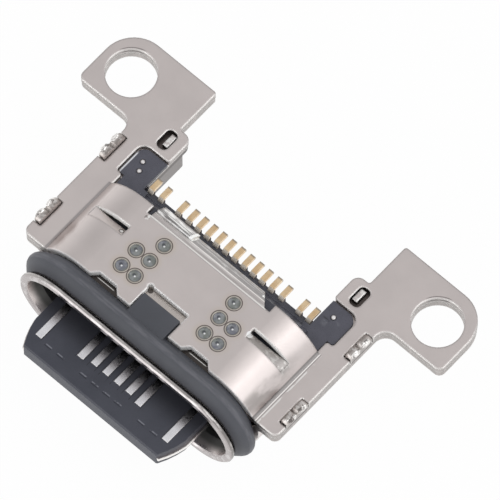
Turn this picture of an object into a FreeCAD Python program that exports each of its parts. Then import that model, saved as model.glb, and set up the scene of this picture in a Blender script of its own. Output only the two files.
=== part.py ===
import FreeCAD, Part
import math
import os
import re
import Sketcher

# A USB-C socket with two screw ears, in millimetres.
# X runs along the width, Y from the plug mouth to the solder tails, Z up.
# The origin is the centre of the mouth, in the front plane of the shell's lip.

doc = FreeCAD.newDocument("usb_c_socket")
Vector = FreeCAD.Vector
Rotation = FreeCAD.Rotation

# Sizes that can be set by themselves: alias, value, meaning.
SIZES = [
    ("mouth_half_width", 4.17, "half of the mouth's width"),
    ("mouth_half_height", 1.28, "half of the mouth's height, also its end radius"),
    ("shell_wall", 0.30, "sheet of the inner shell"),
    ("shell_length", 3.92, "from the lip plane to the shell's rear end"),
    ("lip_wall", 0.46, "the lip's outer edge beyond the mouth"),
    ("lip_inner_flare", 0.16, "how far the mouth opens at the lip"),
    ("lip_nose", 0.06, "bevels along the lip's front edges"),
    ("lip_slope", 0.12, "slope behind the lip's band"),
    ("lip_length", 0.14, "length of the lip's outer band"),
    ("flare_length", 0.55, "length of the funnel inside the lip"),
    ("seal_reach", 0.655, "the seal's shoulders beyond the mouth"),
    ("seal_crest", 0.75, "the seal's crest behind the lip plane"),
    ("seal_dome", 0.19, "half of the rounded crest along Y"),
    ("seal_front_height", 0.06, "height of the seal's front face"),
    ("seal_rear_height", 0.05, "height of the seal's rear face"),
    ("seal_round", 0.25, "radius of the seal's crest"),
    ("sheet_gap", 0.02, "clearance between formed sheets and the shell"),
    ("cover_wall", 0.25, "sheet of the cover plate"),
    ("base_wall", 0.28, "sheet of the lower plate"),
    ("plate_top", 0.87, "top of the wings and ears above the mouth's axis"),
    ("cover_bend", 0.16, "inner radius where the arch meets the wings"),
    ("base_bend", 0.14, "inner radius where the cradle meets the wings"),
    ("cover_front", 1.17, "front edge of the plates"),
    ("arch_reach", 0.40, "rear edge of the arch behind the shell"),
    ("cradle_reach", 0.38, "rear edge of the cradle behind the shell"),
    ("wing_land", 0.60, "flat of the wings outside the cradle's bend"),
    ("ear_reach", 2.39, "ears beyond the wings"),
    ("ear_inset", 1.38, "inner edge of the ears inside the wings' outer edge"),
    ("ear_lead", 1.64, "front edge of the ears behind the window's front edge"),
    ("ear_depth", 2.58, "ears along Y"),
    ("ear_round", 1.20, "large outer rear radius of the ears"),
    ("corner_round", 0.24, "small outer radius of the plates"),
    ("neck_round", 0.45, "radius between wing and ear"),
    ("hole_land", 1.21, "screw hole's centre from the ear's outer edge"),
    ("hole_back", 1.33, "screw hole's centre from the ear's rear edge"),
    ("hole_radius", 0.865, "screw hole"),
    ("tab_reach", 0.52, "rear tab beside the ear, from the ear's inner edge"),
    ("tab_lap", 0.81, "rear edge of that tab behind the ear's front edge"),
    ("tab_lead", 0.32, "front edge of that tab ahead of the ear's front edge"),
    ("tab_round", 0.30, "rear corner radius of that tab"),
    ("edge_round", 0.10, "finest corner radius of the plates"),
    ("window_land", 0.78, "window over the insulator arm, from the wing's outer edge"),
    ("window_lead", 0.48, "front edge of that window behind the arch"),
    ("window_round", 0.36, "corner radius of that window"),
    ("window_reach", 0.25, "how far the wing ahead of that window reaches in"),
    ("slot_inset", 0.60, "hook slot's middle from the rear tab's inner edge"),
    ("slot_back", 0.56, "hook slot's middle ahead of the rear tab's rear edge"),
    ("slot_width", 0.44, "hook slot across"),
    ("slot_length", 0.76, "hook slot along"),
    ("slot_round", 0.18, "corner radius of the hook slot"),
    ("hook_width", 0.20, "hook in the slot across"),
    ("hook_length", 0.48, "hook in the slot along"),
    ("hook_sink", 0.05, "hook below the cover's top"),
    ("base_inset", 0.01, "lower plate's edge inside the cover's edge"),
    ("base_reach_in", 0.02, "lower plate's inner edge outside the rear tab's inner edge"),
    ("flap_back", 0.40, "flap that hangs from that edge, ahead of the rear tab's rear edge"),
    ("flap_bottom", 0.45, "bottom of that flap below the axis"),
    ("notch_depth", 0.30, "crimp notch in the wing's outer edge"),
    ("notch_length", 1.12, "crimp notch along the wing"),
    ("front_notch_back", 1.05, "middle of the front crimp notch behind the plate's front edge"),
    ("rear_notch_lead", 1.12, "middle of the rear crimp notch ahead of the ear"),
    ("crimp_rise", 0.14, "crimp tab above the cover plate"),
    ("crimp_gap", 0.05, "crimp tab from its notch"),
    ("key_half_width", 0.82, "half of the arch's middle front notch"),
    ("key_depth", 1.00, "depth of that notch"),
    ("key_gap", 0.05, "rubber key from the notch"),
    ("key_back", 0.35, "rubber key from the notch's rear edge"),
    ("key_rise", 0.05, "rubber key above the arch"),
    ("side_notch_inner", 1.38, "inner end of the side front notches"),
    ("side_notch_outer", 2.58, "outer end of the side front notches"),
    ("side_notch_depth", 0.24, "depth of the side front notches"),
    ("flange_left", 2.46, "left end of the rear flange"),
    ("flange_right", 2.50, "right end of the rear flange"),
    ("flange_slant", 0.57, "slant of the flange's right end, across"),
    ("flange_back", 0.04, "where the rear flange starts to turn down, behind the shell"),
    ("flange_radius", 0.40, "outer radius of the flange's bend"),
    ("flange_angle", 48.0, "degrees that the flange turns down"),
    ("flange_length", 0.55, "straight part of the flange"),
    ("hem_end", 0.94, "inner end of the flange's doubled left part"),
    ("hem_wall", 0.10, "extra sheet on the doubled part"),
    ("relief_width", 0.17, "slit beside the rear flange"),
    ("louvre_lead", 1.08, "front of the pressed-in louvre ahead of the shell's rear end"),
    ("louvre_length", 0.42, "louvre strip along Y"),
    ("louvre_press", 0.22, "how far the strip's rear edge is pressed in at its upper end"),
    ("louvre_slit", 0.11, "open slit behind the strip at its upper end"),
    ("louvre_flat", 0.19, "louvre's upper end on the arch's flat top"),
    ("louvre_turn", 45.0, "degrees that the louvre takes round the shoulder"),
    ("louvre_gap", 0.08, "shell window round the louvre"),
    ("weld_spacing", 0.71, "weld spots along Y"),
    ("weld_inner", 1.515, "inner column of weld spots"),
    ("weld_outer", 2.09, "outer column of weld spots"),
    ("weld_shift", 0.10, "weld pattern off the middle plane"),
    ("weld_back", 0.89, "first weld row behind the plate's front edge"),
    ("weld_radius", 0.20, "dish of a weld spot"),
    ("weld_depth", 0.04, "depth of that dish"),
    ("tongue_half_width", 3.25, "half of the tongue's width"),
    ("tongue_half_thick", 0.35, "half of the tongue's thickness"),
    ("tongue_tip", 1.69, "tongue ahead of the lip plane"),
    ("tongue_nose", 2.88, "half of the tongue's straight front edge"),
    ("tongue_shoulder", 0.70, "where the tongue starts to narrow, ahead of the lip plane"),
    ("tongue_round", 3.00, "radius of the tongue's narrowing sides"),
    ("tongue_bevel", 0.05, "bevel along the tongue's front edges"),
    ("mid_half_thick", 0.07, "half of the mid plate's thickness"),
    ("mid_proud", 0.08, "mid plate beyond the tongue's sides"),
    ("mid_reach", 0.78, "rear edge of the mid plate behind the shell"),
    ("latch_depth", 0.22, "latch notch in the mid plate's sides"),
    ("latch_length", 0.70, "latch notch along the mid plate"),
    ("latch_front", 0.35, "front of the latch notch from the lip plane"),
    ("core_depth", 0.56, "insulator inside the shell along Y"),
    ("core_gap", 0.03, "insulator from the shell"),
    ("block_half_width", 3.74, "insulator block behind the shell"),
    ("block_depth", 1.18, "that block along Y"),
    ("block_top", 0.50, "top of that block at the solder tails"),
    ("block_bottom", 1.10, "that block below the axis"),
    ("block_high", 0.96, "top of that block under the flange"),
    ("brow_reach", 0.68, "where the high part starts to slope down, behind the shell"),
    ("arm_gap", 0.05, "insulator arm from the cover's window"),
    ("arm_wall", 0.16, "insulator arm above the lower plate"),
    ("stake_radius", 0.09, "small stakes through the insulator arms"),
    ("stake_outer", 0.43, "left rear stake from the window's outer edge"),
    ("stake_near", 0.56, "left front stake from there"),
    ("stake_inner", 0.70, "right stake from there"),
    ("stake_front", 0.49, "front stake from the window's front edge"),
    ("stake_rear", 0.81, "rear stakes from there"),
    ("blade_width", 0.25, "contact blade on the tongue"),
    ("blade_spacing", 0.50, "contact blades across, from one to the next"),
    ("tail_spacing", 0.40, "solder tails across, from one to the next"),
    ("tail_sixth", 2.25, "the sixth tails from the middle plane"),
    ("tail_seventh", 3.00, "the seventh tails from the middle plane"),
    ("tail_outer", 3.44, "the outermost tails from the middle plane"),
    ("blade_wall", 0.10, "sheet of the contacts"),
    ("blade_proud", 0.015, "contact blades above the tongue"),
    ("tail_width", 0.20, "solder tail"),
    ("rib_radius", 0.15, "round rib of the insulator under each solder tail"),
    ("rib_sink", 0.05, "how far inside the block's rear face the ribs have their axes"),
    ("tail_reach", 0.45, "solder tails behind the block"),
    ("tail_top", 0.71, "top of the solder tails"),
    ("tail_bend", 0.08, "inner radius of the bend into the solder tails"),
    ("power_front", 1.12, "outermost blades ahead of the lip plane"),
    ("bus_front", 0.77, "next blades ahead of the lip plane"),
    ("signal_front", 0.66, "inner blades ahead of the lip plane"),
    ("jog_lead", 0.52, "where the contacts start to jog sideways, ahead of the shell's end"),
    ("jog_length", 1.00, "length of that jog"),
]

# Sizes that follow from the ones above: alias, formula, meaning.
DERIVED = [
    ("base_in", "mouth_half_height + shell_wall + sheet_gap", "inner radius of the cradle"),
    ("base_out", "base_in + base_wall", "outer radius of the cradle"),
    ("base_low", "plate_top - cover_wall - base_wall", "underside of the base's wings"),
    ("base_reach", "base_out + base_bend", "from the cradle's centre to its bend's centre"),
    ("base_bend_z", "base_low - base_bend", "centre of the base's bend"),
    ("end_x", "mouth_half_width - mouth_half_height", "centre of the mouth's round ends"),
    ("base_bend_x", "end_x + sqrt(base_reach ^ 2 - base_bend_z ^ 2)", "the same across"),
    ("wing_half_width", "base_bend_x + wing_land", "outer edge of the wings"),
    ("ear_half_width", "wing_half_width + ear_reach", "outer edge of the ears"),
    ("ear_inner", "wing_half_width - ear_inset", "inner edge of the ears"),
    ("arch_rear", "shell_length + arch_reach", "rear edge of the arch"),
    ("cradle_rear", "shell_length + cradle_reach", "rear edge of the cradle"),
    ("window_front", "arch_rear + window_lead", "front edge of the window"),
    ("ear_front", "window_front + ear_lead", "front edge of the ears"),
    ("ear_rear", "ear_front + ear_depth", "rear edge of the ears"),
    ("tab_rear", "ear_front + tab_lap", "rear edge of the rear tab"),
    ("tab_front", "ear_front - tab_lead", "front edge of the rear tab"),
    ("slot_y", "tab_rear - slot_back", "hook slot from the lip plane"),
    ("flap_rear", "tab_rear - flap_back", "rear edge of the flap"),
    ("front_notch_y", "cover_front + front_notch_back", "middle of the front crimp notch"),
    ("rear_notch_y", "ear_front - rear_notch_lead", "middle of the rear crimp notch"),
    ("flange_start", "shell_length + flange_back", "where the rear flange starts to turn down"),
    ("louvre_front", "shell_length - louvre_lead", "front of the pressed-in louvre"),
    ("louvre_rear", "louvre_front + louvre_length", "rear edge of the louvre's opening"),
    ("weld_first", "cover_front + weld_back", "first weld row from the lip plane"),
    ("mid_rear", "shell_length + mid_reach", "rear edge of the mid plate"),
    ("core_front", "shell_length - core_depth", "front face of the insulator inside the shell"),
    ("block_rear", "shell_length + block_depth", "rear face of the insulator block"),
    ("block_brow", "shell_length + brow_reach", "where the block starts to slope down"),
    ("riser_front", "block_rear - blade_wall", "front face of the contacts' upright part"),
    ("tail_rear", "block_rear + tail_reach", "rear end of the solder tails"),
    ("jog_front", "shell_length - jog_lead", "where the contacts start to jog sideways"),
    ("jog_rear", "jog_front + jog_length", "where the jog ends"),
    ("hole_x", "ear_half_width - hole_land", "screw hole from the middle plane"),
    ("hole_y", "ear_rear - hole_back", "screw hole from the lip plane"),
    ("tab_inner", "ear_inner - tab_reach", "inner edge of the rear tab"),
    ("window_outer", "wing_half_width - window_land", "outer edge of the window"),
    ("window_neck", "window_outer - window_reach", "inner edge of the wing ahead of it"),
    ("slot_x", "tab_inner + slot_inset", "hook slot from the middle plane"),
    ("base_inner", "tab_inner + base_reach_in", "inner edge of the lower plate beside the tails"),
    ("arm_inner", "base_inner", "inner edge of the insulator arms"),
    ("shell_out", "mouth_half_height + shell_wall", "outer radius of the shell"),
    ("lip_out", "mouth_half_height + lip_wall", "outer radius of the lip"),
    ("seal_shoulder", "mouth_half_height + seal_reach", "radius of the seal at its shoulders"),
    ("seal_front", "lip_length + lip_slope + sheet_gap", "front face of the seal"),
    ("seal_rear", "cover_front - sheet_gap", "rear face of the seal"),
    ("seal_in", "shell_out + sheet_gap", "inner radius of the seal"),
    ("cover_in", "shell_out + sheet_gap", "inner radius of the arch"),
    ("cover_out", "cover_in + cover_wall", "outer radius of the arch"),
    ("plate_low", "plate_top - cover_wall", "underside of the cover's wings"),
    ("cover_bend_z", "plate_top + cover_bend", "centre of the cover's bend"),
    ("cover_bend_x", "end_x + sqrt((cover_out + cover_bend) ^ 2 - cover_bend_z ^ 2)", "the same across"),
    ("cover_reach", "cover_out + cover_bend", "from the arch's centre to its bend's centre"),
    ("flange_bend_y", "flange_start + flange_radius * sin(flange_angle)", "end of the flange's bend"),
    ("flange_bend_z", "cover_out - flange_radius * (1 - cos(flange_angle))", "the same in height"),
    ("flange_end_y", "flange_bend_y + flange_length * cos(flange_angle)", "rear edge of the flange"),
    ("flange_end_z", "flange_bend_z - flange_length * sin(flange_angle)", "the same in height"),
    ("tail_low", "tail_top - blade_wall", "underside of the solder tails"),
]

sheet = doc.addObject("Spreadsheet::Sheet", "sizes")
row = 1
for alias, value, meaning in SIZES:
    sheet.set("A%d" % row, alias)
    sheet.set("B%d" % row, str(value))
    sheet.set("C%d" % row, meaning)
    sheet.setAlias("B%d" % row, alias)
    row += 1
for alias, formula, meaning in DERIVED:
    sheet.set("A%d" % row, alias)
    sheet.set("B%d" % row, "=" + formula)
    sheet.set("C%d" % row, meaning)
    sheet.setAlias("B%d" % row, alias)
    row += 1
doc.recompute()

NAMES = [entry[0] for entry in SIZES] + [entry[0] for entry in DERIVED]
ALIAS = re.compile(r"\b(%s)\b" % "|".join(NAMES))


def linked(text):
    """Write a formula so that another object can read the sheet."""
    return ALIAS.sub(r"sizes.\1", str(text))


def value(text):
    """The number that a formula stands for now."""
    return float(sheet.evalExpression(str(text)))


def bind(obj, prop, text):
    obj.setExpression(prop, linked(text))


TURNS = {
    "XY": Rotation(),
    "XZ": Rotation(Vector(1, 0, 0), 90),
    "YZ": Rotation(Vector(1, 1, 1), 120),
}
OFFSET_AXIS = {"XY": "z", "XZ": "y", "YZ": "x"}


def side_of(first, second):
    """Direction from one corner to the next, as whole steps along the sketch axes."""
    length = math.hypot(second[0] - first[0], second[1] - first[1])
    return (second[0] - first[0]) / length, (second[1] - first[1]) / length


def shifted(text, amount, direction):
    """A coordinate moved by an amount along an axis direction of -1, 0 or 1."""
    step = int(round(direction))
    if step == 0:
        return text
    sign = "+" if step > 0 else "-"
    return "(%s) %s (%s)" % (text, sign, amount)


def arc_centre(start, end, radius, turn):
    """Centre of the short arc from start to end; turn is 1 for counter-clockwise."""
    mid_x = (start[0] + end[0]) / 2.0
    mid_y = (start[1] + end[1]) / 2.0
    dx, dy = end[0] - start[0], end[1] - start[1]
    half = math.hypot(dx, dy) / 2.0
    rise = math.sqrt(max(radius * radius - half * half, 0.0))
    return mid_x - turn * rise * dy / (2.0 * half), mid_y + turn * rise * dx / (2.0 * half)


def expand(corners):
    """Turn rounded corners into a line end, an arc and a line start."""
    points = [(value(c[0]), value(c[1])) for c in corners]
    path = []
    for index, corner in enumerate(corners):
        if len(corner) == 3:
            before = side_of(points[index - 1], points[index])
            after = side_of(points[index], points[(index + 1) % len(corners)])
            radius = corner[2]
            path.append((shifted(corner[0], radius, -before[0]), shifted(corner[1], radius, -before[1]), None))
            turn = 1 if before[0] * after[1] - before[1] * after[0] > 0 else -1
            path.append((shifted(corner[0], radius, after[0]), shifted(corner[1], radius, after[1]), (radius, turn)))
        elif len(corner) == 4:
            path.append((corner[0], corner[1], (corner[2], corner[3])))
        else:
            path.append((corner[0], corner[1], None))
    return path


def outline(name, plane, offset, corners):
    """A closed sketch. A corner is (x, y), (x, y, radius) where two square sides meet,
    or (x, y, radius, turn) for an arc that arrives there from the corner before."""
    sketch = doc.addObject("Sketcher::SketchObject", name)
    sketch.Placement = FreeCAD.Placement(Vector(0, 0, 0), TURNS[plane])
    bind(sketch, "Placement.Base." + OFFSET_AXIS[plane], offset)
    path = expand(corners)
    points = [(value(p[0]), value(p[1])) for p in path]
    count = len(path)
    arcs = []
    for index in range(count):
        start = points[index - 1]
        end = points[index]
        arc = path[index][2]
        if arc is None:
            sketch.addGeometry(Part.LineSegment(Vector(start[0], start[1], 0), Vector(end[0], end[1], 0)))
            arcs.append(0)
            continue
        radius = value(arc[0])
        cx, cy = arc_centre(start, end, radius, arc[1])
        first, last = (start, end) if arc[1] > 0 else (end, start)
        circle = Part.Circle(Vector(cx, cy, 0), Vector(0, 0, 1), radius)
        low = math.atan2(first[1] - cy, first[0] - cx)
        high = math.atan2(last[1] - cy, last[0] - cx)
        sketch.addGeometry(Part.ArcOfCircle(circle, low, high))
        arcs.append(arc[1])
    for index in range(count):
        after = (index + 1) % count
        end_pos = 1 if arcs[index] < 0 else 2
        start_pos = 2 if arcs[after] < 0 else 1
        sketch.addConstraint(Sketcher.Constraint("Coincident", index, end_pos, after, start_pos))
        for kind, part in (("DistanceX", 0), ("DistanceY", 1)):
            place = Sketcher.Constraint(kind, -1, 1, index, end_pos, points[index][part])
            number = sketch.addConstraint(place)
            bind(sketch, "Constraints[%d]" % number, path[index][part])
        if arcs[index]:
            number = sketch.addConstraint(Sketcher.Constraint("Radius", index, value(path[index][2][0])))
            bind(sketch, "Constraints[%d]" % number, path[index][2][0])
    return sketch


def extrude(name, sketch, direction, forward, back="0"):
    """Pull a sketch along a direction, and back the other way if asked."""
    solid = doc.addObject("Part::Extrusion", name)
    solid.Base = sketch
    solid.DirMode = "Custom"
    solid.Dir = Vector(*direction)
    solid.Solid = True
    bind(solid, "LengthFwd", forward)
    bind(solid, "LengthRev", back)
    return solid


def revolve(name, sketch, turn, start="0"):
    """Turn a profile about the long axis of the shell's right end, from a start angle."""
    solid = doc.addObject("Part::Revolution", name)
    solid.Source = sketch
    solid.Axis = Vector(0, 1, 0)
    solid.Base = Vector(0, 0, 0)
    solid.Solid = True
    bind(solid, "Angle", turn)
    solid.Placement = FreeCAD.Placement(Vector(0, 0, 0), Rotation(Vector(0, 1, 0), 1))
    bind(solid, "Placement.Rotation.Angle", start)
    bind(solid, "Placement.Base.x", "end_x")
    return solid


def flat_part(name, sketch, length):
    """Pull a ring's profile from the shell's right end towards the middle plane."""
    solid = extrude(name, sketch, (-1, 0, 0), length)
    bind(solid, "Placement.Base.x", "end_x")
    return solid


def mirror(name, source, normal):
    copy = doc.addObject("Part::Mirroring", name)
    copy.Source = source
    copy.Normal = Vector(*normal)
    copy.Base = Vector(0, 0, 0)
    return copy


def fuse(name, shapes):
    joined = doc.addObject("Part::MultiFuse", name)
    joined.Shapes = shapes
    joined.Refine = True
    return joined


def cut(name, base, tool):
    rest = doc.addObject("Part::Cut", name)
    rest.Base = base
    rest.Tool = tool
    rest.Refine = True
    return rest


def both_sides(name, source):
    """A right-hand shape and its mirror image, as two tools in one."""
    return fuse(name, [source, mirror(name + "_left", source, (1, 0, 0))])


def ring(name, corners):
    """A ring round the mouth: one profile, pulled along the flats and turned round the ends.
    In the profile the first number is the depth Y and the second the radius."""
    profile = outline(name + "_profile", "YZ", "0", corners)
    top = extrude(name + "_top", profile, (1, 0, 0), "end_x", "end_x")
    bottom = mirror(name + "_bottom", top, (0, 0, 1))
    right = revolve(name + "_right", profile, "180")
    left = mirror(name + "_left", right, (1, 0, 0))
    return fuse(name + "_loop", [top, bottom, right, left])


def stadium(name, front, rear, radius):
    """A full bar with the mouth's section, from one depth to another."""
    sketch = outline(name + "_section", "XZ", front, [
        ("-end_x", "-(%s)" % radius, radius, 1),
        ("end_x", "-(%s)" % radius),
        ("end_x + %s" % radius, "0", radius, 1),
        ("end_x", radius, radius, 1),
        ("-end_x", radius),
        ("-end_x - %s" % radius, "0", radius, 1),
    ])
    return extrude(name + "_bar", sketch, (0, 1, 0), "%s - %s" % (rear, front))


def plate(name, low, thick, corners):
    """A flat piece drawn from above."""
    return extrude(name + "_slab", outline(name + "_plan", "XY", low, corners), (0, 0, 1), thick)


def block(name, corners, right, left):
    """A bar along the width, drawn from the side as depth and height."""
    return extrude(name + "_bar", outline(name + "_side", "YZ", "0", corners), (1, 0, 0), right, left)


def slice_between(name, corners, low, high):
    """A bar along the width between two distances from the middle plane."""
    return extrude(name + "_bar", outline(name + "_side", "YZ", low, corners), (1, 0, 0),
                   "(%s) - (%s)" % (high, low))


def round_post(name, x, y, low, height, radius):
    post = doc.addObject("Part::Cylinder", name)
    bind(post, "Radius", radius)
    bind(post, "Height", height)
    bind(post, "Placement.Base.x", x)
    bind(post, "Placement.Base.y", y)
    bind(post, "Placement.Base.z", low)
    return post


finished = []


def finish(obj, name):
    """Give a finished piece the name of its file."""
    obj.Label = name
    finished.append(obj)
    return obj


# Inner shell: a tube with a flared lip, and a window under each louvre.
shell_ring = ring("shell", [
    ("shell_length", "mouth_half_height"),
    ("flare_length", "mouth_half_height"),
    ("lip_nose", "mouth_half_height + lip_inner_flare"),
    ("0", "mouth_half_height + lip_inner_flare + lip_nose"),
    ("0", "lip_out - lip_nose"),
    ("lip_nose", "lip_out"),
    ("lip_length", "lip_out"),
    ("lip_length + lip_slope", "shell_out"),
    ("shell_length", "shell_out"),
])
window_profile = outline("shell_window_profile", "YZ", "0", [
    ("louvre_front - louvre_gap", "mouth_half_height - louvre_gap"),
    ("louvre_front + louvre_length + louvre_gap", "mouth_half_height - louvre_gap"),
    ("louvre_front + louvre_length + louvre_gap", "shell_out + louvre_gap"),
    ("louvre_front - louvre_gap", "shell_out + louvre_gap"),
])
shell_window = fuse("shell_window", [
    revolve("shell_window_turn", window_profile, "louvre_turn + 4"),
    flat_part("shell_window_flat", window_profile, "louvre_flat + louvre_gap"),
])
inner_shell = cut("shell_cut", shell_ring, both_sides("shell_windows", shell_window))
finish(inner_shell, "inner_shell")

# Seal: a rounded rubber ring with a key that fills the cover's middle notch.
seal_body = ring("seal", [
    ("seal_front", "seal_in"),
    ("seal_front", "seal_in + seal_front_height"),
    ("seal_crest - seal_dome", "seal_shoulder"),
    ("seal_crest + seal_dome", "seal_shoulder", "seal_round", -1),
    ("seal_rear", "seal_in + seal_rear_height"),
    ("seal_rear", "seal_in"),
])
seal_key = plate("seal_key", "seal_in", "cover_out + key_rise - seal_in", [
    ("-(key_half_width - key_gap)", "seal_crest"),
    ("key_half_width - key_gap", "seal_crest"),
    ("key_half_width - key_gap", "cover_front + key_depth - key_back"),
    ("-(key_half_width - key_gap)", "cover_front + key_depth - key_back"),
])
seal_ring = finish(fuse("seal_joined", [seal_body, seal_key]), "seal_ring")

# Cover plate: the arch follows the shell and turns into the wings with an even wall.
arch = outline("arch_section", "XZ", "cover_front", [
    ("0", "cover_out"),
    ("end_x", "cover_out"),
    ("end_x + (cover_bend_x - end_x) * cover_out / cover_reach",
     "cover_bend_z * cover_out / cover_reach", "cover_out", -1),
    ("cover_bend_x", "plate_top", "cover_bend", 1),
    ("cover_bend_x + cover_wall", "plate_top"),
    ("cover_bend_x + cover_wall", "plate_low"),
    ("cover_bend_x", "plate_low"),
    ("end_x + (cover_bend_x - end_x) * cover_in / cover_reach",
     "cover_bend_z * cover_in / cover_reach", "cover_bend + cover_wall", -1),
    ("end_x", "cover_in", "cover_in", 1),
    ("0", "cover_in"),
])
arch_half = extrude("arch_half", arch, (0, 1, 0), "arch_rear - cover_front")
cover_flat = plate("cover", "plate_low", "cover_wall", [
    ("cover_bend_x", "cover_front"),
    ("wing_half_width", "cover_front", "corner_round"),
    ("wing_half_width", "front_notch_y - notch_length / 2"),
    ("wing_half_width - notch_depth", "front_notch_y - notch_length / 2"),
    ("wing_half_width - notch_depth", "front_notch_y + notch_length / 2"),
    ("wing_half_width", "front_notch_y + notch_length / 2"),
    ("wing_half_width", "rear_notch_y - notch_length / 2"),
    ("wing_half_width - notch_depth", "rear_notch_y - notch_length / 2"),
    ("wing_half_width - notch_depth", "rear_notch_y + notch_length / 2"),
    ("wing_half_width", "rear_notch_y + notch_length / 2"),
    ("wing_half_width", "ear_front", "neck_round"),
    ("ear_half_width", "ear_front", "corner_round"),
    ("ear_half_width", "ear_rear", "ear_round"),
    ("ear_inner", "ear_rear", "edge_round"),
    ("ear_inner", "tab_rear", "edge_round"),
    ("tab_inner", "tab_rear", "tab_round"),
    ("tab_inner", "tab_front", "edge_round"),
    ("window_outer", "tab_front", "window_round"),
    ("window_outer", "window_front", "edge_round"),
    ("window_neck", "window_front", "edge_round"),
    ("window_neck", "arch_rear"),
    ("cover_bend_x", "arch_rear"),
])
cover_hole = round_post("cover_hole", "hole_x", "hole_y", "plate_low - cover_wall", "3 * cover_wall",
                        "hole_radius")
hook_slot = plate("hook_slot", "plate_low - cover_wall", "3 * cover_wall", [
    ("slot_x - slot_width / 2", "slot_y - slot_length / 2", "slot_round"),
    ("slot_x + slot_width / 2", "slot_y - slot_length / 2", "slot_round"),
    ("slot_x + slot_width / 2", "slot_y + slot_length / 2", "slot_round"),
    ("slot_x - slot_width / 2", "slot_y + slot_length / 2", "slot_round"),
])
cover_right = cut("cover_right", fuse("cover_half", [arch_half, cover_flat]),
                  fuse("cover_openings", [cover_hole, hook_slot]))
cover_sheet = both_sides("cover_sheet", cover_right)

key_notch = plate("key_notch", "cover_in - cover_wall", "3 * cover_wall", [
    ("-key_half_width", "cover_front - key_depth"),
    ("key_half_width", "cover_front - key_depth"),
    ("key_half_width", "cover_front + key_depth"),
    ("-key_half_width", "cover_front + key_depth"),
])
key_relief = round_post("key_relief", "-key_half_width + key_gap", "cover_front + key_depth - key_gap",
                        "cover_in - cover_wall", "3 * cover_wall", "2 * key_gap")
side_notch = plate("side_notch", "cover_in - cover_wall", "3 * cover_wall", [
    ("side_notch_inner", "cover_front - side_notch_depth"),
    ("side_notch_outer", "cover_front - side_notch_depth"),
    ("side_notch_outer", "cover_front"),
    ("side_notch_outer - side_notch_depth", "cover_front + side_notch_depth"),
    ("side_notch_inner + side_notch_depth", "cover_front + side_notch_depth"),
    ("side_notch_inner", "cover_front"),
])
flange_room = plate("flange_room", "cover_in - cover_wall", "3 * cover_wall", [
    ("-(flange_left + relief_width)", "flange_start + key_gap"),
    ("flange_right + relief_width", "flange_start + key_gap"),
    ("flange_right + relief_width", "arch_rear + cover_wall"),
    ("-(flange_left + relief_width)", "arch_rear + cover_wall"),
])
louvre_room_profile = outline("louvre_room_profile", "YZ", "0", [
    ("louvre_front", "cover_in - louvre_gap"),
    ("louvre_rear", "cover_in - louvre_gap"),
    ("louvre_rear", "cover_out + louvre_gap"),
    ("louvre_front", "cover_out + louvre_gap"),
])
louvre_room = fuse("louvre_room", [
    revolve("louvre_room_turn", louvre_room_profile, "louvre_turn"),
    flat_part("louvre_room_flat", louvre_room_profile, "louvre_flat"),
])
weld_tools = []
for side, letter in ((-1, "l"), (1, "r")):
    for column, first, count in (("weld_inner", 0, 3), ("weld_outer", 0, 2)):
        for step in range(first, first + count):
            weld_tools.append(round_post("weld_%s_%s_%d" % (letter, column[5:], step),
                                         "%d * %s + weld_shift" % (side, column),
                                         "weld_first + %d * weld_spacing" % step,
                                         "cover_out - weld_depth", "2 * weld_depth", "weld_radius"))
cover_open = cut("cover_open", cover_sheet, fuse("cover_tools", [
    key_notch,
    key_relief,
    both_sides("side_notches", side_notch),
    flange_room,
    both_sides("louvre_rooms", louvre_room),
] + weld_tools))

flange = block("flange", [
    ("flange_start - cover_wall", "cover_out"),
    ("flange_start", "cover_out"),
    ("flange_bend_y", "flange_bend_z", "flange_radius", -1),
    ("flange_end_y", "flange_end_z"),
    ("flange_end_y - cover_wall * sin(flange_angle)", "flange_end_z - cover_wall * cos(flange_angle)"),
    ("flange_bend_y - cover_wall * sin(flange_angle)", "flange_bend_z - cover_wall * cos(flange_angle)"),
    ("flange_start", "cover_in", "flange_radius - cover_wall", 1),
    ("flange_start - cover_wall", "cover_in"),
], "flange_right", "flange_left")
flange_corner = plate("flange_corner", "flange_end_z - cover_wall", "cover_out - flange_end_z + 2 * cover_wall", [
    ("flange_right", "flange_start"),
    ("flange_right + relief_width", "flange_start"),
    ("flange_right + relief_width", "flange_start + 1.2 * (flange_end_y - flange_start)"),
    ("flange_right - 1.2 * flange_slant", "flange_start + 1.2 * (flange_end_y - flange_start)"),
])
flange = cut("flange_trimmed", flange, flange_corner)
hem = slice_between("hem", [
    ("flange_bend_y", "flange_bend_z"),
    ("flange_bend_y + hem_wall * sin(flange_angle)", "flange_bend_z + hem_wall * cos(flange_angle)"),
    ("flange_end_y + hem_wall * sin(flange_angle)", "flange_end_z + hem_wall * cos(flange_angle)"),
    ("flange_end_y", "flange_end_z"),
], "-flange_left", "-hem_end")


def louvre_section(name, across, turn, share):
    """The strip's section at an angle from the top. The share of the full press falls to
    nothing at the outer end, where the strip meets the arch again."""
    sketch = outline(name, "YZ", "0", [
        ("louvre_front - key_gap", "cover_in + sheet_gap"),
        ("louvre_front", "cover_in + sheet_gap"),
        ("louvre_rear - louvre_slit * %s" % share, "cover_in + sheet_gap - louvre_press * %s" % share),
        ("louvre_rear - louvre_slit * %s" % share, "cover_out - sheet_gap - louvre_press * %s" % share),
        ("louvre_front", "cover_out - sheet_gap"),
        ("louvre_front - key_gap", "cover_out - sheet_gap"),
    ])
    sketch.setExpression("Placement.Base.x", None)
    bind(sketch, "Placement", "create(<<placement>>; create(<<vector>>; %s; 0; 0); "
         "create(<<rotation>>; create(<<vector>>; 0; 1; 0); %s) * "
         "create(<<rotation>>; create(<<vector>>; 1; 1; 1); 120))" % (across, turn))
    return sketch


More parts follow.
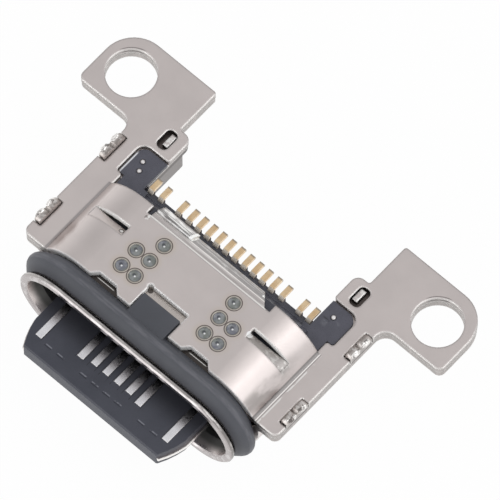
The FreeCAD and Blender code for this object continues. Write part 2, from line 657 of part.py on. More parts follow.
LOUVRE_SHARES = ((0.25, 1.0), (0.5, 0.85), (0.75, 0.5), (1.0, 0.05))
louvre_sections = [louvre_section("louvre_section_inner", "end_x - louvre_flat", "0", 1.0),
                   louvre_section("louvre_section_top", "end_x", "0", 1.0)]
for number, (part_of_turn, share) in enumerate(LOUVRE_SHARES):
    louvre_sections.append(louvre_section("louvre_section_%d" % number, "end_x",
                                          "louvre_turn * %s" % part_of_turn, share))
louvre = doc.addObject("Part::Loft", "louvre")
louvre.Sections = louvre_sections
louvre.Solid = True
louvre.Ruled = False
cover_plate = fuse("cover_joined", [cover_open, flange, hem, both_sides("louvres", louvre)])
finish(cover_plate, "cover_plate")

# Base plate: a cradle under the shell, with ears, crimp tabs, hooks and stakes.
cradle = outline("cradle_section", "XZ", "cover_front", [
    ("0", "-base_out"),
    ("end_x", "-base_out"),
    ("end_x + (base_bend_x - end_x) * base_out / base_reach",
     "base_bend_z * base_out / base_reach", "base_out", 1),
    ("base_bend_x", "base_low", "base_bend", -1),
    ("base_bend_x + base_wall", "base_low"),
    ("base_bend_x + base_wall", "plate_low"),
    ("base_bend_x", "plate_low"),
    ("end_x + (base_bend_x - end_x) * base_in / base_reach",
     "base_bend_z * base_in / base_reach", "base_bend + base_wall", 1),
    ("end_x", "-base_in", "base_in", -1),
    ("0", "-base_in"),
])
cradle_half = extrude("cradle_half", cradle, (0, 1, 0), "cradle_rear - cover_front")
base_flat = plate("base", "base_low", "base_wall", [
    ("base_bend_x", "cover_front"),
    ("wing_half_width - base_inset", "cover_front", "corner_round"),
    ("wing_half_width - base_inset", "ear_front + base_inset", "neck_round"),
    ("ear_half_width - base_inset", "ear_front + base_inset", "corner_round"),
    ("ear_half_width - base_inset", "ear_rear - base_inset", "ear_round"),
    ("ear_inner + base_inset", "ear_rear - base_inset", "edge_round"),
    ("ear_inner + base_inset", "tab_rear - base_inset", "edge_round"),
    ("base_inner", "tab_rear - base_inset", "tab_round"),
    ("base_inner", "block_rear + core_gap"),
    ("block_half_width + core_gap", "block_rear + core_gap"),
    ("block_half_width + core_gap", "cradle_rear"),
    ("base_bend_x", "cradle_rear"),
])
base_hole = round_post("base_hole", "hole_x", "hole_y", "base_low - base_wall", "3 * base_wall",
                       "hole_radius")
base_right = cut("base_right", fuse("base_half", [cradle_half, base_flat]), base_hole)


def crimp(name, middle):
    """A tab that stands in a notch of the cover, with two weld lumps along its top."""
    return slice_between(name, [
        (middle + " - notch_length / 2 + crimp_gap", "base_low"),
        (middle + " + notch_length / 2 - crimp_gap", "base_low"),
        (middle + " + notch_length / 2 - crimp_gap", "plate_top + crimp_rise / 2"),
        (middle, "plate_top + crimp_rise / 2", "notch_length * 0.28", 1),
        (middle + " - notch_length / 2 + crimp_gap", "plate_top + crimp_rise / 2", "notch_length * 0.28", 1),
    ], "wing_half_width - notch_depth + crimp_gap", "wing_half_width - base_inset")


hook = plate("hook", "base_low", "plate_top - hook_sink - base_low", [
    ("slot_x - slot_width / 2 + crimp_gap", "slot_y - hook_length / 2 + crimp_gap"),
    ("slot_x - slot_width / 2 + crimp_gap + hook_width", "slot_y - hook_length / 2 + crimp_gap"),
    ("slot_x - slot_width / 2 + crimp_gap + hook_width", "slot_y + hook_length / 2 + crimp_gap"),
    ("slot_x - slot_width / 2 + crimp_gap", "slot_y + hook_length / 2 + crimp_gap"),
])
flap = plate("flap", "-flap_bottom", "base_low + flap_bottom + base_wall / 2", [
    ("base_inner", "block_rear + core_gap"),
    ("base_inner + base_wall", "block_rear + core_gap"),
    ("base_inner + base_wall", "flap_rear"),
    ("base_inner", "flap_rear", "edge_round"),
])
STAKES = (
    ("-(window_outer - stake_outer)", "window_front + stake_rear"),
    ("-(window_outer - stake_near)", "window_front + stake_front"),
    ("window_outer - stake_inner", "window_front + stake_rear"),
)
stakes = []
stake_holes = []
for number, (stake_x, stake_y) in enumerate(STAKES):
    stakes.append(round_post("stake_%d" % number, stake_x, stake_y, "base_low",
                             "base_wall + arm_wall + sheet_gap", "stake_radius"))
    stake_holes.append(round_post("stake_hole_%d" % number, stake_x, stake_y, "base_low",
                                  "2 * base_wall + 2 * arm_wall", "stake_radius + sheet_gap / 2"))
base_side = fuse("base_side", [base_right, crimp("crimp_front", "front_notch_y"),
                               crimp("crimp_rear", "rear_notch_y"), hook, flap])
base_plate = fuse("base_joined", [both_sides("base_sheet", base_side)] + stakes)
finish(base_plate, "lower_plate")

# Contacts: a blade on the tongue, a jog to the tails' pitch, and an upright bend to the tail.
CONTACTS = (
    ("a12", "-5.5 * blade_spacing", "-tail_outer", "power_front", 1),
    ("b1", "-5.5 * blade_spacing", "-tail_seventh", "power_front", -1),
    ("a9", "-2.5 * blade_spacing", "-tail_sixth", "bus_front", 1),
    ("b4", "-2.5 * blade_spacing", "-4.5 * tail_spacing", "bus_front", -1),
    ("a8", "-1.5 * blade_spacing", "-3.5 * tail_spacing", "signal_front", 1),
    ("b5", "-1.5 * blade_spacing", "-2.5 * tail_spacing", "signal_front", -1),
    ("a7", "-0.5 * blade_spacing", "-1.5 * tail_spacing", "signal_front", 1),
    ("b6", "-0.5 * blade_spacing", "-0.5 * tail_spacing", "signal_front", -1),
    ("a6", "0.5 * blade_spacing", "0.5 * tail_spacing", "signal_front", 1),
    ("b7", "0.5 * blade_spacing", "1.5 * tail_spacing", "signal_front", -1),
    ("a5", "1.5 * blade_spacing", "2.5 * tail_spacing", "signal_front", 1),
    ("b8", "1.5 * blade_spacing", "3.5 * tail_spacing", "signal_front", -1),
    ("a4", "2.5 * blade_spacing", "4.5 * tail_spacing", "bus_front", 1),
    ("b9", "2.5 * blade_spacing", "tail_sixth", "bus_front", -1),
    ("a1", "5.5 * blade_spacing", "tail_seventh", "power_front", 1),
    ("b12", "5.5 * blade_spacing", "tail_outer", "power_front", -1),
)


def contact(name, blade_x, tail_x, front, side):
    if side > 0:
        low = "tongue_half_thick + blade_proud - blade_wall"
    else:
        low = "-tongue_half_thick - blade_proud"
    blade = plate("blade_" + name, low, "blade_wall", [
        ("%s - blade_width / 2" % blade_x, "-" + front),
        ("%s + blade_width / 2" % blade_x, "-" + front),
        ("%s + blade_width / 2" % blade_x, "jog_front"),
        ("%s + tail_width / 2" % tail_x, "jog_rear"),
        ("%s + tail_width / 2" % tail_x, "riser_front - blade_wall"),
        ("%s - tail_width / 2" % tail_x, "riser_front - blade_wall"),
        ("%s - tail_width / 2" % tail_x, "jog_rear"),
        ("%s - blade_width / 2" % blade_x, "jog_front"),
    ])
    tail = slice_between("tail_" + name, [
        ("riser_front - 3 * blade_wall", low),
        ("riser_front + blade_wall", low),
        ("riser_front + blade_wall", "tail_low", "tail_bend"),
        ("tail_rear", "tail_low"),
        ("tail_rear", "tail_top"),
        ("riser_front", "tail_top", "tail_bend + blade_wall"),
        ("riser_front", low + " + blade_wall"),
        ("riser_front - 3 * blade_wall", low + " + blade_wall"),
    ], "%s - tail_width / 2" % tail_x, "%s + tail_width / 2" % tail_x)
    return finish(fuse("strip_" + name, [blade, tail]), "contact_" + name)


contacts = [contact(*entry) for entry in CONTACTS]

# Mid plate: thin steel inside the tongue, with a latch notch in each side.
mid_half = plate("mid", "-mid_half_thick", "2 * mid_half_thick", [
    ("0", "-tongue_tip + tongue_bevel / 2"),
    ("tongue_nose + mid_proud", "-tongue_tip + tongue_bevel / 2"),
    ("tongue_half_width + mid_proud", "-tongue_shoulder", "tongue_round", 1),
    ("tongue_half_width + mid_proud", "latch_front"),
    ("tongue_half_width + mid_proud - latch_depth", "latch_front"),
    ("tongue_half_width + mid_proud - latch_depth", "latch_front + latch_length"),
    ("tongue_half_width + mid_proud", "latch_front + latch_length"),
    ("tongue_half_width + mid_proud", "mid_rear"),
    ("0", "mid_rear"),
])
mid_plate = finish(both_sides("mid_joined", mid_half), "mid_plate")

# Tongue: moulded round the mid plate and the contact blades.
tongue_half = plate("tongue", "-tongue_half_thick", "2 * tongue_half_thick", [
    ("0", "-tongue_tip"),
    ("tongue_nose", "-tongue_tip"),
    ("tongue_half_width", "-tongue_shoulder", "tongue_round", 1),
    ("tongue_half_width", "latch_front"),
    ("tongue_half_width - latch_depth", "latch_front"),
    ("tongue_half_width - latch_depth", "latch_front + latch_length"),
    ("tongue_half_width", "latch_front + latch_length"),
    ("tongue_half_width", "core_front"),
    ("0", "core_front"),
])
bevel = block("bevel", [
    ("-tongue_tip - tongue_bevel", "tongue_half_thick - tongue_bevel"),
    ("-tongue_tip", "tongue_half_thick - tongue_bevel"),
    ("-tongue_tip + tongue_bevel", "tongue_half_thick"),
    ("-tongue_tip + tongue_bevel", "tongue_half_thick + tongue_bevel"),
    ("-tongue_tip - tongue_bevel", "tongue_half_thick + tongue_bevel"),
], "tongue_half_width * 2", "tongue_half_width * 2")
bevels = fuse("bevels", [bevel, mirror("bevel_low", bevel, (0, 0, 1))])
moulded_in = fuse("moulded_in", contacts + [mid_plate])
tongue_raw = cut("tongue_raw", both_sides("tongue_joined", tongue_half), bevels)
finish(cut("tongue_cut", tongue_raw, moulded_in), "tongue_moulding")

# Insulator: a core in the shell, a block behind it that holds the tails, and two arms.
core = stadium("core", "core_front", "shell_length", "(mouth_half_height - core_gap)")
tail_block = block("tail_block", [
    ("shell_length", "-block_bottom"),
    ("block_rear", "-block_bottom"),
    ("block_rear", "block_top"),
    ("riser_front - blade_wall", "block_top"),
    ("block_brow", "block_high"),
    ("shell_length", "block_high"),
], "block_half_width", "block_half_width")
ribs = []
for name, blade_x, tail_x, front, side in CONTACTS:
    ribs.append(round_post("rib_" + name, tail_x, "block_rear - rib_sink", "-block_bottom",
                           "block_bottom + block_top", "rib_radius"))
arm = plate("arm", "plate_low", "arm_wall", [
    ("block_half_width - arm_wall * 2", "arch_rear + arm_gap"),
    ("window_neck - arm_gap", "arch_rear + arm_gap"),
    ("window_neck - arm_gap", "window_front + arm_gap"),
    ("window_outer - arm_gap", "window_front + arm_gap", "edge_round"),
    ("window_outer - arm_gap", "tab_front - arm_gap", "window_round"),
    ("arm_inner", "tab_front - arm_gap"),
    ("arm_inner", "riser_front - blade_wall"),
    ("block_half_width - arm_wall * 2", "riser_front - blade_wall"),
])
insulator_raw = fuse("insulator_raw", [core, tail_block, both_sides("arms", arm)] + ribs)
finish(cut("insulator_cut", insulator_raw, fuse("insulator_tools", [moulded_in] + stake_holes)),
       "insulator_body")

doc.recompute()

problems = []
for obj in doc.Objects:
    if "Invalid" in obj.State or "Error" in obj.State:
        problems.append(obj.Name + " " + str(obj.State))
for obj in finished:
    if obj.Shape.isNull() or not obj.Shape.isValid() or obj.Shape.Volume <= 0:
        problems.append(obj.Label + " has no valid solid")
if problems:
    raise RuntimeError("; ".join(problems))

os.makedirs("parts", exist_ok=True)
for obj in finished:
    obj.Shape.exportStep("parts/%s.step" % obj.Label)
    print("%-18s solids %d  volume %.4f" % (obj.Label, len(obj.Shape.Solids), obj.Shape.Volume))
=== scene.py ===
"""Looks of a small plug socket.

Plated steel sheets, a drawn steel mouth, a rubber seal, moulded plastic and gold contacts.
Places in the materials are in millimetres: x across, y from the mouth to the tails, z up.
"""

import math

import bmesh
import bpy
from mathutils import Matrix, Vector, noise


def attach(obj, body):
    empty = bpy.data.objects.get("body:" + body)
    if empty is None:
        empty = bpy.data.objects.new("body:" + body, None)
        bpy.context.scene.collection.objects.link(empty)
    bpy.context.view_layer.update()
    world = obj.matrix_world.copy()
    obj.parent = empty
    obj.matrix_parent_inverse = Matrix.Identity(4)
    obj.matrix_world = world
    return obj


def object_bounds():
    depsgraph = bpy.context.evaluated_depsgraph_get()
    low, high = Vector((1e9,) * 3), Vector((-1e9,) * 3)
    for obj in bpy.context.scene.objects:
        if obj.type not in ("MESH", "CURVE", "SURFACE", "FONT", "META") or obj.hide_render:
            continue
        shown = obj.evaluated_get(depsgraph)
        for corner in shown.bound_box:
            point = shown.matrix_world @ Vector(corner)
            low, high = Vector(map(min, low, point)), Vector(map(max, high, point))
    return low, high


MM = 0.001

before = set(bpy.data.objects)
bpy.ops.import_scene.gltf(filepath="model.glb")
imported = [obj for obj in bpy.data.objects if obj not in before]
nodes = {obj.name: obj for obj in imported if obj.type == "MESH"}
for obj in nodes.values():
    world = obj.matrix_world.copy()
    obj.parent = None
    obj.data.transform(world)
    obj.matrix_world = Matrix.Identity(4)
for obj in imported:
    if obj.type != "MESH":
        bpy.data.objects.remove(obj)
cad_low, cad_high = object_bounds()

# Camera: above and ahead of the mouth, a little to its right, with a long lens
AZIMUTH = math.radians(41.963)
ELEVATION = math.radians(65.292)
DISTANCE = 393.0 * MM
FIELD = 16.126 * MM
AIM = Vector((0.0, 0.0, 0.87)) * MM
AIM_RIGHT = 4.044 * MM
AIM_UP = 3.494 * MM
SENSOR = 36.0
CLIP_NEAR = 0.02
CLIP_FAR = 10


def place_camera():
    right = Vector((math.cos(AZIMUTH), math.sin(AZIMUTH), 0))
    back = Vector((
        math.sin(AZIMUTH) * math.cos(ELEVATION),
        -math.cos(AZIMUTH) * math.cos(ELEVATION),
        math.sin(ELEVATION),
    ))
    up = back.cross(right)
    lens = bpy.data.cameras.new("camera")
    lens.sensor_width = SENSOR
    lens.lens = SENSOR * DISTANCE / FIELD
    lens.clip_start = CLIP_NEAR
    lens.clip_end = CLIP_FAR
    camera = bpy.data.objects.new("camera", lens)
    bpy.context.scene.collection.objects.link(camera)
    place = Matrix((right, up, back)).transposed().to_4x4()
    place.translation = AIM + AIM_RIGHT * right + AIM_UP * up + DISTANCE * back
    camera.matrix_world = place
    bpy.context.scene.camera = camera


# Most of what a noise gives lies between these two
SPREAD = (0.3, 0.7)

# How far the rounded and the flat normal agree: hardly turned, and well turned
TURN = (0.999, 0.93)

NUMBER_RESULTS = ("DOT_PRODUCT", "LENGTH", "DISTANCE")


class Graph:
    """A node tree with short names for the nodes that the materials share."""

    def __init__(self, tree):
        self.tree = tree
        self.tree.nodes.clear()

    def add(self, kind, **settings):
        node = self.tree.nodes.new(kind)
        for name, setting in settings.items():
            setattr(node, name, setting)
        return node

    def put(self, socket, source):
        if isinstance(source, bpy.types.NodeSocket):
            self.tree.links.new(source, socket)
        else:
            socket.default_value = source

    def math(self, operation, first, second=0.0):
        node = self.add("ShaderNodeMath", operation=operation)
        self.put(node.inputs[0], first)
        self.put(node.inputs[1], second)
        return node.outputs[0]

    def vector(self, operation, first, second=(0, 0, 0)):
        node = self.add("ShaderNodeVectorMath", operation=operation)
        self.put(node.inputs[0], first)
        self.put(node.inputs[1], second)
        return node.outputs["Value" if operation in NUMBER_RESULTS else "Vector"]

    def millimetres(self):
        """The place on the object, in millimetres from the middle of the mouth."""
        place = self.add("ShaderNodeTexCoord").outputs["Object"]
        return self.vector("MULTIPLY", place, (1000, 1000, 1000))

    def axes(self, place):
        node = self.add("ShaderNodeSeparateXYZ")
        self.put(node.inputs[0], place)
        return node.outputs

    def noise(self, place, scale, detail=3.0, roughness=0.55, stretch=None):
        if stretch is not None:
            place = self.vector("MULTIPLY", place, stretch)
        node = self.add("ShaderNodeTexNoise")
        self.put(node.inputs["Vector"], place)
        node.inputs["Scale"].default_value = scale
        node.inputs["Detail"].default_value = detail
        node.inputs["Roughness"].default_value = roughness
        return node.outputs["Fac"]

    def span(self, source, low, high, to_low=0.0, to_high=1.0):
        """Turn low to high into to_low to to_high, and hold the ends."""
        node = self.add("ShaderNodeMapRange", interpolation_type="SMOOTHSTEP")
        self.put(node.inputs["Value"], source)
        node.inputs["From Min"].default_value = low
        node.inputs["From Max"].default_value = high
        node.inputs["To Min"].default_value = to_low
        node.inputs["To Max"].default_value = to_high
        return node.outputs["Result"]

    def between(self, source, low, high, soft=0.02):
        """1 where the source lies between low and high, with soft ends."""
        above = self.span(source, low - soft, low + soft)
        below = self.span(source, high + soft, high - soft)
        return self.math("MULTIPLY", above, below)

    def all_of(self, *shares):
        """The product of several shares."""
        product = shares[0]
        for share in shares[1:]:
            product = self.math("MULTIPLY", product, share)
        return product

    def mix(self, share, first, second):
        node = self.add("ShaderNodeMix", data_type="RGBA")
        self.put(node.inputs["Factor"], share)
        for socket, colour in ((node.inputs[6], first), (node.inputs[7], second)):
            self.put(socket, colour if isinstance(colour, bpy.types.NodeSocket) else (*colour, 1.0))
        return node.outputs[2]

    def edges(self, radius):
        """1 where the surface turns within the radius, in millimetres, and the rounded normal."""
        rounded = self.add("ShaderNodeBevel", samples=4)
        rounded.inputs["Radius"].default_value = radius * MM
        flat = self.add("ShaderNodeNewGeometry").outputs["Normal"]
        agree = self.vector("DOT_PRODUCT", rounded.outputs[0], flat)
        return self.span(agree, *TURN), rounded.outputs[0]

    def bump(self, height, distance, strength, normal=None):
        node = self.add("ShaderNodeBump")
        self.put(node.inputs["Height"], height)
        node.inputs["Distance"].default_value = distance * MM
        node.inputs["Strength"].default_value = strength
        if normal is not None:
            self.put(node.inputs["Normal"], normal)
        return node.outputs[0]

    def shade(self, colour, roughness, metallic, normal):
        shader = self.add("ShaderNodeBsdfPrincipled")
        self.put(shader.inputs["Base Color"], colour)
        self.put(shader.inputs["Roughness"], roughness)
        self.put(shader.inputs["Metallic"], metallic)
        self.put(shader.inputs["Normal"], normal)
        out = self.add("ShaderNodeOutputMaterial")
        self.put(out.inputs["Surface"], shader.outputs[0])


def material(name, build):
    made = bpy.data.materials.new(name)
    made.use_nodes = True
    build(Graph(made.node_tree))
    return made


def nearest(g, place, spots):
    """Distance in millimetres, seen from above, to the nearest of several spots."""
    flat = g.vector("MULTIPLY", place, (1, 1, 0))
    least = None
    for x, y in spots:
        away = g.vector("DISTANCE", flat, (x, y, 0))
        least = away if least is None else g.math("MINIMUM", least, away)
    return least


def spot(g, place, middle, outer, inner):
    """1 within the inner radius of one place, seen from above, and 0 beyond the outer radius."""
    return g.span(nearest(g, place, (middle,)), outer, inner)


# Colours that several marks on the steel share
STEEL_DARK = (0.55, 0.50, 0.485)
STEEL = (0.70, 0.635, 0.615)
STEEL_BRIGHT = (0.98, 0.96, 0.93)
STEEL_EDGE_SHADE = (0.36, 0.34, 0.33)
SHEARED = (0.42, 0.40, 0.385)
WHITE = (1.0, 1.0, 1.0)
CLEAR_WHITE = (1.0, 1.0, 0.98)
PALE_WHITE = (1.0, 0.99, 0.97)
WARM_WHITE = (1.0, 0.98, 0.95)
CREAM_WHITE = (1.0, 0.97, 0.93)

# Edges that face this way get a painted highlight, and those facing away a line of painted shade
LIT_EDGE_SIDE = (0.67, -0.74, 0.0)


class Steel:
    """Plated sheet: soft clouds in the colour, fine grain, and painted highlights and shade on its edges.
    """

    def __init__(self, g, edge, satin=0.30):
        self.g = g
        self.place = g.millimetres()
        self.x, self.y, self.z = g.axes(self.place)
        self.across = g.math("ABSOLUTE", self.x)
        facing = g.axes(g.add("ShaderNodeNewGeometry").outputs["True Normal"])
        self.upward = g.math("ABSOLUTE", facing[2])
        self.forward = g.math("MULTIPLY", facing[1], -1.0)
        self.cloudy = g.noise(self.place, scale=0.7, detail=4.0)
        grain = g.noise(self.place, scale=14.0, detail=4.0, roughness=0.65)
        self.worn, self.rounded = g.edges(edge)
        self.colour = g.mix(g.span(self.cloudy, *SPREAD), STEEL_DARK, STEEL)
        self.colour = g.mix(0.7, self.colour, STEEL)
        self.roughness = g.span(grain, *SPREAD, satin - 0.02, satin + 0.03)
        self.height = g.math("MULTIPLY", grain, 0.15)
        self.metal = None

    def walls(self):
        """1 on upright faces, and 0 on level ones."""
        return self.g.span(self.upward, 0.5, 0.3)

    def fronts(self):
        """1 on faces that look ahead, past the mouth."""
        return self.g.span(self.forward, 0.3, 0.6)

    def paint(self, share, colour, strength=1.0):
        self.colour = self.g.mix(self.g.math("MULTIPLY", share, strength), self.colour, colour)

    def rough(self, share, level):
        g = self.g
        change = g.math("MULTIPLY", g.math("SUBTRACT", level, self.roughness), share)
        self.roughness = g.math("ADD", self.roughness, change)

    def matt(self, share, amount):
        """Dull the metal where light from every side should show."""
        kept = self.g.math("SUBTRACT", 1.0, self.g.math("MULTIPLY", share, amount))
        self.metal = kept if self.metal is None else self.g.math("MULTIPLY", self.metal, kept)

    def raise_by(self, share, amount):
        self.height = self.g.math("ADD", self.height, self.g.math("MULTIPLY", share, amount))

    def edge_light_and_shade(self):
        """Painted highlight on edges towards the front right, and a line of painted shade on those behind.
        """
        g = self.g
        towards = g.vector("DOT_PRODUCT", self.rounded, LIT_EDGE_SIDE)
        edge_highlight = g.all_of(self.worn, g.span(towards, 0.02, 0.12))
        dull = g.all_of(self.worn, g.span(towards, -0.02, -0.12))
        self.paint(edge_highlight, STEEL_BRIGHT, 0.85)
        self.paint(dull, STEEL_EDGE_SHADE, 0.6)

    def finish(self):
        normal = self.g.bump(self.height, 0.004, 0.45, self.rounded)
        self.g.shade(self.colour, self.roughness, 1.0 if self.metal is None else self.metal, normal)


# Soft steps in height: the plates' cut edges, above the wings, and the arch's flat top
EDGE_TOP = (0.93, 0.90)
EDGE_FOOT = (0.28, 0.32)
OVER_WINGS = (0.93, 0.97)
ARCH_TOP = (1.70, 1.76)

SEAM_LOW = 0.595
SEAM_HIGH = 0.645
SEAM_COLOUR = (0.05, 0.047, 0.045)


def sheared_edges(s):
    """The plates' cut edges: rougher and darker than the faces, darkest along the seam."""
    g = s.g
    wall = g.all_of(g.span(s.upward, 0.35, 0.15), g.span(s.z, *EDGE_TOP), g.span(s.z, *EDGE_FOOT))
    streaks = g.noise(s.place, scale=6.0, detail=3.0, roughness=0.6, stretch=(1.0, 1.0, 0.15))
    seam = g.between(s.z, SEAM_LOW, SEAM_HIGH, soft=0.012)
    s.paint(wall, SHEARED, 0.85)
    s.paint(g.all_of(wall, g.span(streaks, 0.45, 0.65)), STEEL, 0.35)
    s.paint(g.all_of(wall, seam), SEAM_COLOUR, 0.9)
    s.rough(wall, 0.46)


# Weld spots on the arch: three rows of the inner column and two of the outer one, each side
WELD_SPACING = 0.71
WELD_FIRST = 2.06
WELD_SHIFT = 0.10
WELD_COLUMNS = ((1.515, 3), (2.09, 2))

# Radii of a weld spot's parts, from its middle outwards
WELD_GLINT = (0.045, 0.020)
WELD_PIT = (0.075, 0.045)
WELD_DISH = (0.204, 0.196)
WELD_GROOVE = (0.196, 0.212)
WELD_RING = (0.205, 0.250)
WELD_OUTLINE = (0.256, 0.288)
WELD_TINT = (0.50, 0.25)
PIT_SHIFT = (0.05, -0.03, 0.0)

# Their colours, in the same order
PIT_COLOUR = (0.07, 0.075, 0.09)
DISH_GREEN = (0.25, 0.265, 0.25)
DISH_BLUE = (0.235, 0.24, 0.275)
DISH_RIPPLE = (0.38, 0.39, 0.40)
GROOVE_COLOUR = (0.10, 0.095, 0.09)
RING_COLOUR = (0.46, 0.43, 0.38)
OUTLINE_COLOUR = (0.10, 0.082, 0.075)
STRAW = (0.60, 0.50, 0.36)


def weld_places():
    places = []
    for side in (-1, 1):
        for across, count in WELD_COLUMNS:
            for step in range(count):
                places.append((side * across + WELD_SHIFT, WELD_FIRST + step * WELD_SPACING))
    return places


def weld_marks(s):
    """Each spot: a dark dish with a nugget painted bright as a glint, a raised ring, and a faint straw
    tint round it.
    """
    g = s.g
    away = nearest(g, s.place, weld_places())
    top = g.span(s.z, *ARCH_TOP)
    tint = g.all_of(top, g.span(away, *WELD_TINT), g.span(s.cloudy, 0.35, 0.6, 0.4, 1.0))
    outline = g.all_of(top, g.between(away, *WELD_OUTLINE, soft=0.010))
    ring = g.all_of(top, g.between(away, *WELD_RING, soft=0.010))
    groove = g.all_of(top, g.between(away, *WELD_GROOVE, soft=0.008))
    dish = g.all_of(top, g.span(away, *WELD_DISH))
    hue = g.noise(s.place, scale=1.6, detail=1.0)
    ripple = g.noise(s.place, scale=5.0, detail=2.0)
    from_pit = nearest(g, g.vector("ADD", s.place, PIT_SHIFT), weld_places())
    s.paint(tint, STRAW, 0.35)
    s.paint(outline, OUTLINE_COLOUR, 0.95)
    s.paint(ring, RING_COLOUR, 0.95)
    s.paint(groove, GROOVE_COLOUR, 0.9)
    s.paint(dish, g.mix(g.span(hue, 0.42, 0.58), DISH_GREEN, DISH_BLUE))
    s.paint(g.all_of(dish, g.span(ripple, 0.42, 0.60)), DISH_RIPPLE, 0.6)
    s.paint(g.all_of(dish, g.span(from_pit, *WELD_PIT)), PIT_COLOUR, 0.7)
    s.paint(g.all_of(dish, g.span(away, *WELD_GLINT)), WHITE, 0.9)
    s.rough(dish, 0.42)
    s.raise_by(ring, 2.5)
    s.raise_by(groove, -2.0)


# Rear flange: where it starts, how wide and how low it reaches, and where its lower strip begins
FLANGE_START = (3.93, 3.96)
FLANGE_SIDES = (2.52, 2.50)
FLANGE_LOWEST = (1.0, 1.1)
FLANGE_STRIP = (4.20, 4.27)
# Painted shade on the flange and, darker, on its lower strip; paler streaks of drawn grain and painted
# sheen; pale patches of painted highlight
FLANGE_SHADE = (0.46, 0.43, 0.42)
STRIP_SHADE = (0.25, 0.24, 0.24)
DRAWN_STREAK_SHEEN = (0.80, 0.77, 0.75)
PATCH_HIGHLIGHT = (0.85, 0.84, 0.82)

# Lines of painted highlight along the flange: from, to, colour and strength
FLANGE_HIGHLIGHT_LINES = (
    (3.97, 4.02, CREAM_WHITE, 0.95),
    (4.19, 4.22, CREAM_WHITE, 0.75),
    (4.585, 4.61, (0.90, 0.88, 0.86), 0.6),
)

# The hem, the white part of the lower strip at the left, painted in patches of highlight and streaks of
# shade, and the turned end it stops at, painted white as a highlight
HEM_SIDE = (-0.98, -1.02)
HEM_START = (4.26, 4.28)
HEM_SHADE = (0.14, 0.135, 0.135)
HEM_END_LEFT = -1.06
HEM_END_RIGHT = -0.90
HEM_END_START = (4.22, 4.26)


def flange_light_and_shade(s):
    """The rear flange: a painted highlight on its bend, streaks along it that are partly drawn grain and
    partly painted sheen, and painted shade over it, darkest on the lower strip.
    """
    g = s.g
    sides = g.span(s.across, *FLANGE_SIDES)
    band = g.all_of(g.span(s.y, *FLANGE_START), sides, g.span(s.z, *FLANGE_LOWEST))
    drawn = g.noise(s.place, scale=4.0, detail=4.0, roughness=0.7, stretch=(0.10, 2.2, 2.2))
    patches = g.noise(s.place, scale=1.3, detail=3.0, roughness=0.6, stretch=(1.0, 2.0, 2.0))
    lower = g.all_of(band, g.span(s.y, *FLANGE_STRIP))
    s.paint(band, FLANGE_SHADE, 0.7)
    s.paint(lower, STRIP_SHADE, 0.85)
    s.paint(g.all_of(band, g.span(drawn, 0.50, 0.62)), DRAWN_STREAK_SHEEN, 0.6)
    s.paint(g.all_of(lower, g.span(patches, 0.54, 0.64)), PATCH_HIGHLIGHT, 0.4)
    for start, end, colour, strength in FLANGE_HIGHLIGHT_LINES:
        s.paint(g.all_of(band, g.between(s.y, start, end, soft=0.012)), colour, strength)
    hem = g.all_of(lower, g.span(s.x, *HEM_SIDE), g.span(s.y, *HEM_START))
    s.paint(g.all_of(hem, g.span(patches, 0.44, 0.54)), PALE_WHITE, 0.75)
    s.paint(g.all_of(hem, g.span(drawn, 0.50, 0.42)), HEM_SHADE, 0.7)
    hem_end = g.all_of(band, g.between(s.x, HEM_END_LEFT, HEM_END_RIGHT), g.span(s.y, *HEM_END_START))
    s.paint(hem_end, CLEAR_WHITE, 0.9)
    s.raise_by(g.all_of(band, drawn), 2.0)


NICK_PLACE = (2.10, 4.42)
NICK_REACH = (0.085, 0.06)
SCUFF_PLACE = (-2.52, 3.88)
SCUFF_REACH = (0.11, 0.08)
SCUFF_SHADE = (0.22, 0.20, 0.19)


def flange_glint_and_scuff(s):
    """A bright nick at the flange's right end, painted white and made matt as a highlight, and a scuffed
    one in front of its left end.
    """
    g = s.g
    nick = spot(g, s.place, NICK_PLACE, *NICK_REACH)
    s.paint(nick, CLEAR_WHITE, 0.95)
    s.matt(nick, 0.6)
    scuffs = g.noise(s.place, scale=9.0, detail=2.0, roughness=0.6)
    scuffed = g.all_of(spot(g, s.place, SCUFF_PLACE, *SCUFF_REACH), g.span(s.z, *ARCH_TOP))
    s.paint(g.all_of(scuffed, g.span(scuffs, 0.50, 0.56)), PALE_WHITE, 0.9)
    s.paint(g.all_of(scuffed, g.span(scuffs, 0.46, 0.42)), SCUFF_SHADE, 0.8)


ARCH_FRONT = (2.5, 2.4)


def arch_rim_highlights(s):
    """The arch's cut front edges and walls, painted white and made matt as a highlight."""
    g = s.g
    rim = g.all_of(s.walls(), g.span(s.z, *OVER_WINGS), g.span(s.y, *ARCH_FRONT))
    s.paint(rim, PALE_WHITE, 0.95)
    s.rough(rim, 0.5)
    s.matt(rim, 0.85)
    edge = g.all_of(s.worn, g.span(s.z, *OVER_WINGS), g.span(s.y, *ARCH_FRONT))
    s.paint(edge, WHITE, 0.9)


# The arch's feet, where it turns into the wings, and its rear end
ARCH_FOOT = 4.62
ARCH_REAR = (4.36, 4.30)
FOOT_TOP = (1.12, 1.05)
FOOT_SIDE = (4.3, 4.4)

# Lines along the left and the right foot, painted shade and a painted highlight on the right crease: from
# and to beside it, softness, colour, strength
LEFT_FOOT_SHADE = (
    (-0.14, -0.02, 0.03, (0.33, 0.31, 0.31), 0.75),
)
RIGHT_FOOT_LIGHT_AND_SHADE = (
    (-0.15, -0.04, 0.015, (0.27, 0.255, 0.25), 1.0),
    (-0.03, -0.008, 0.010, WARM_WHITE, 0.95),
    (0.00, 0.03, 0.012, (0.34, 0.32, 0.31), 0.8),
)
DOTS_FROM = 0.05
DOTS_TO = 0.10

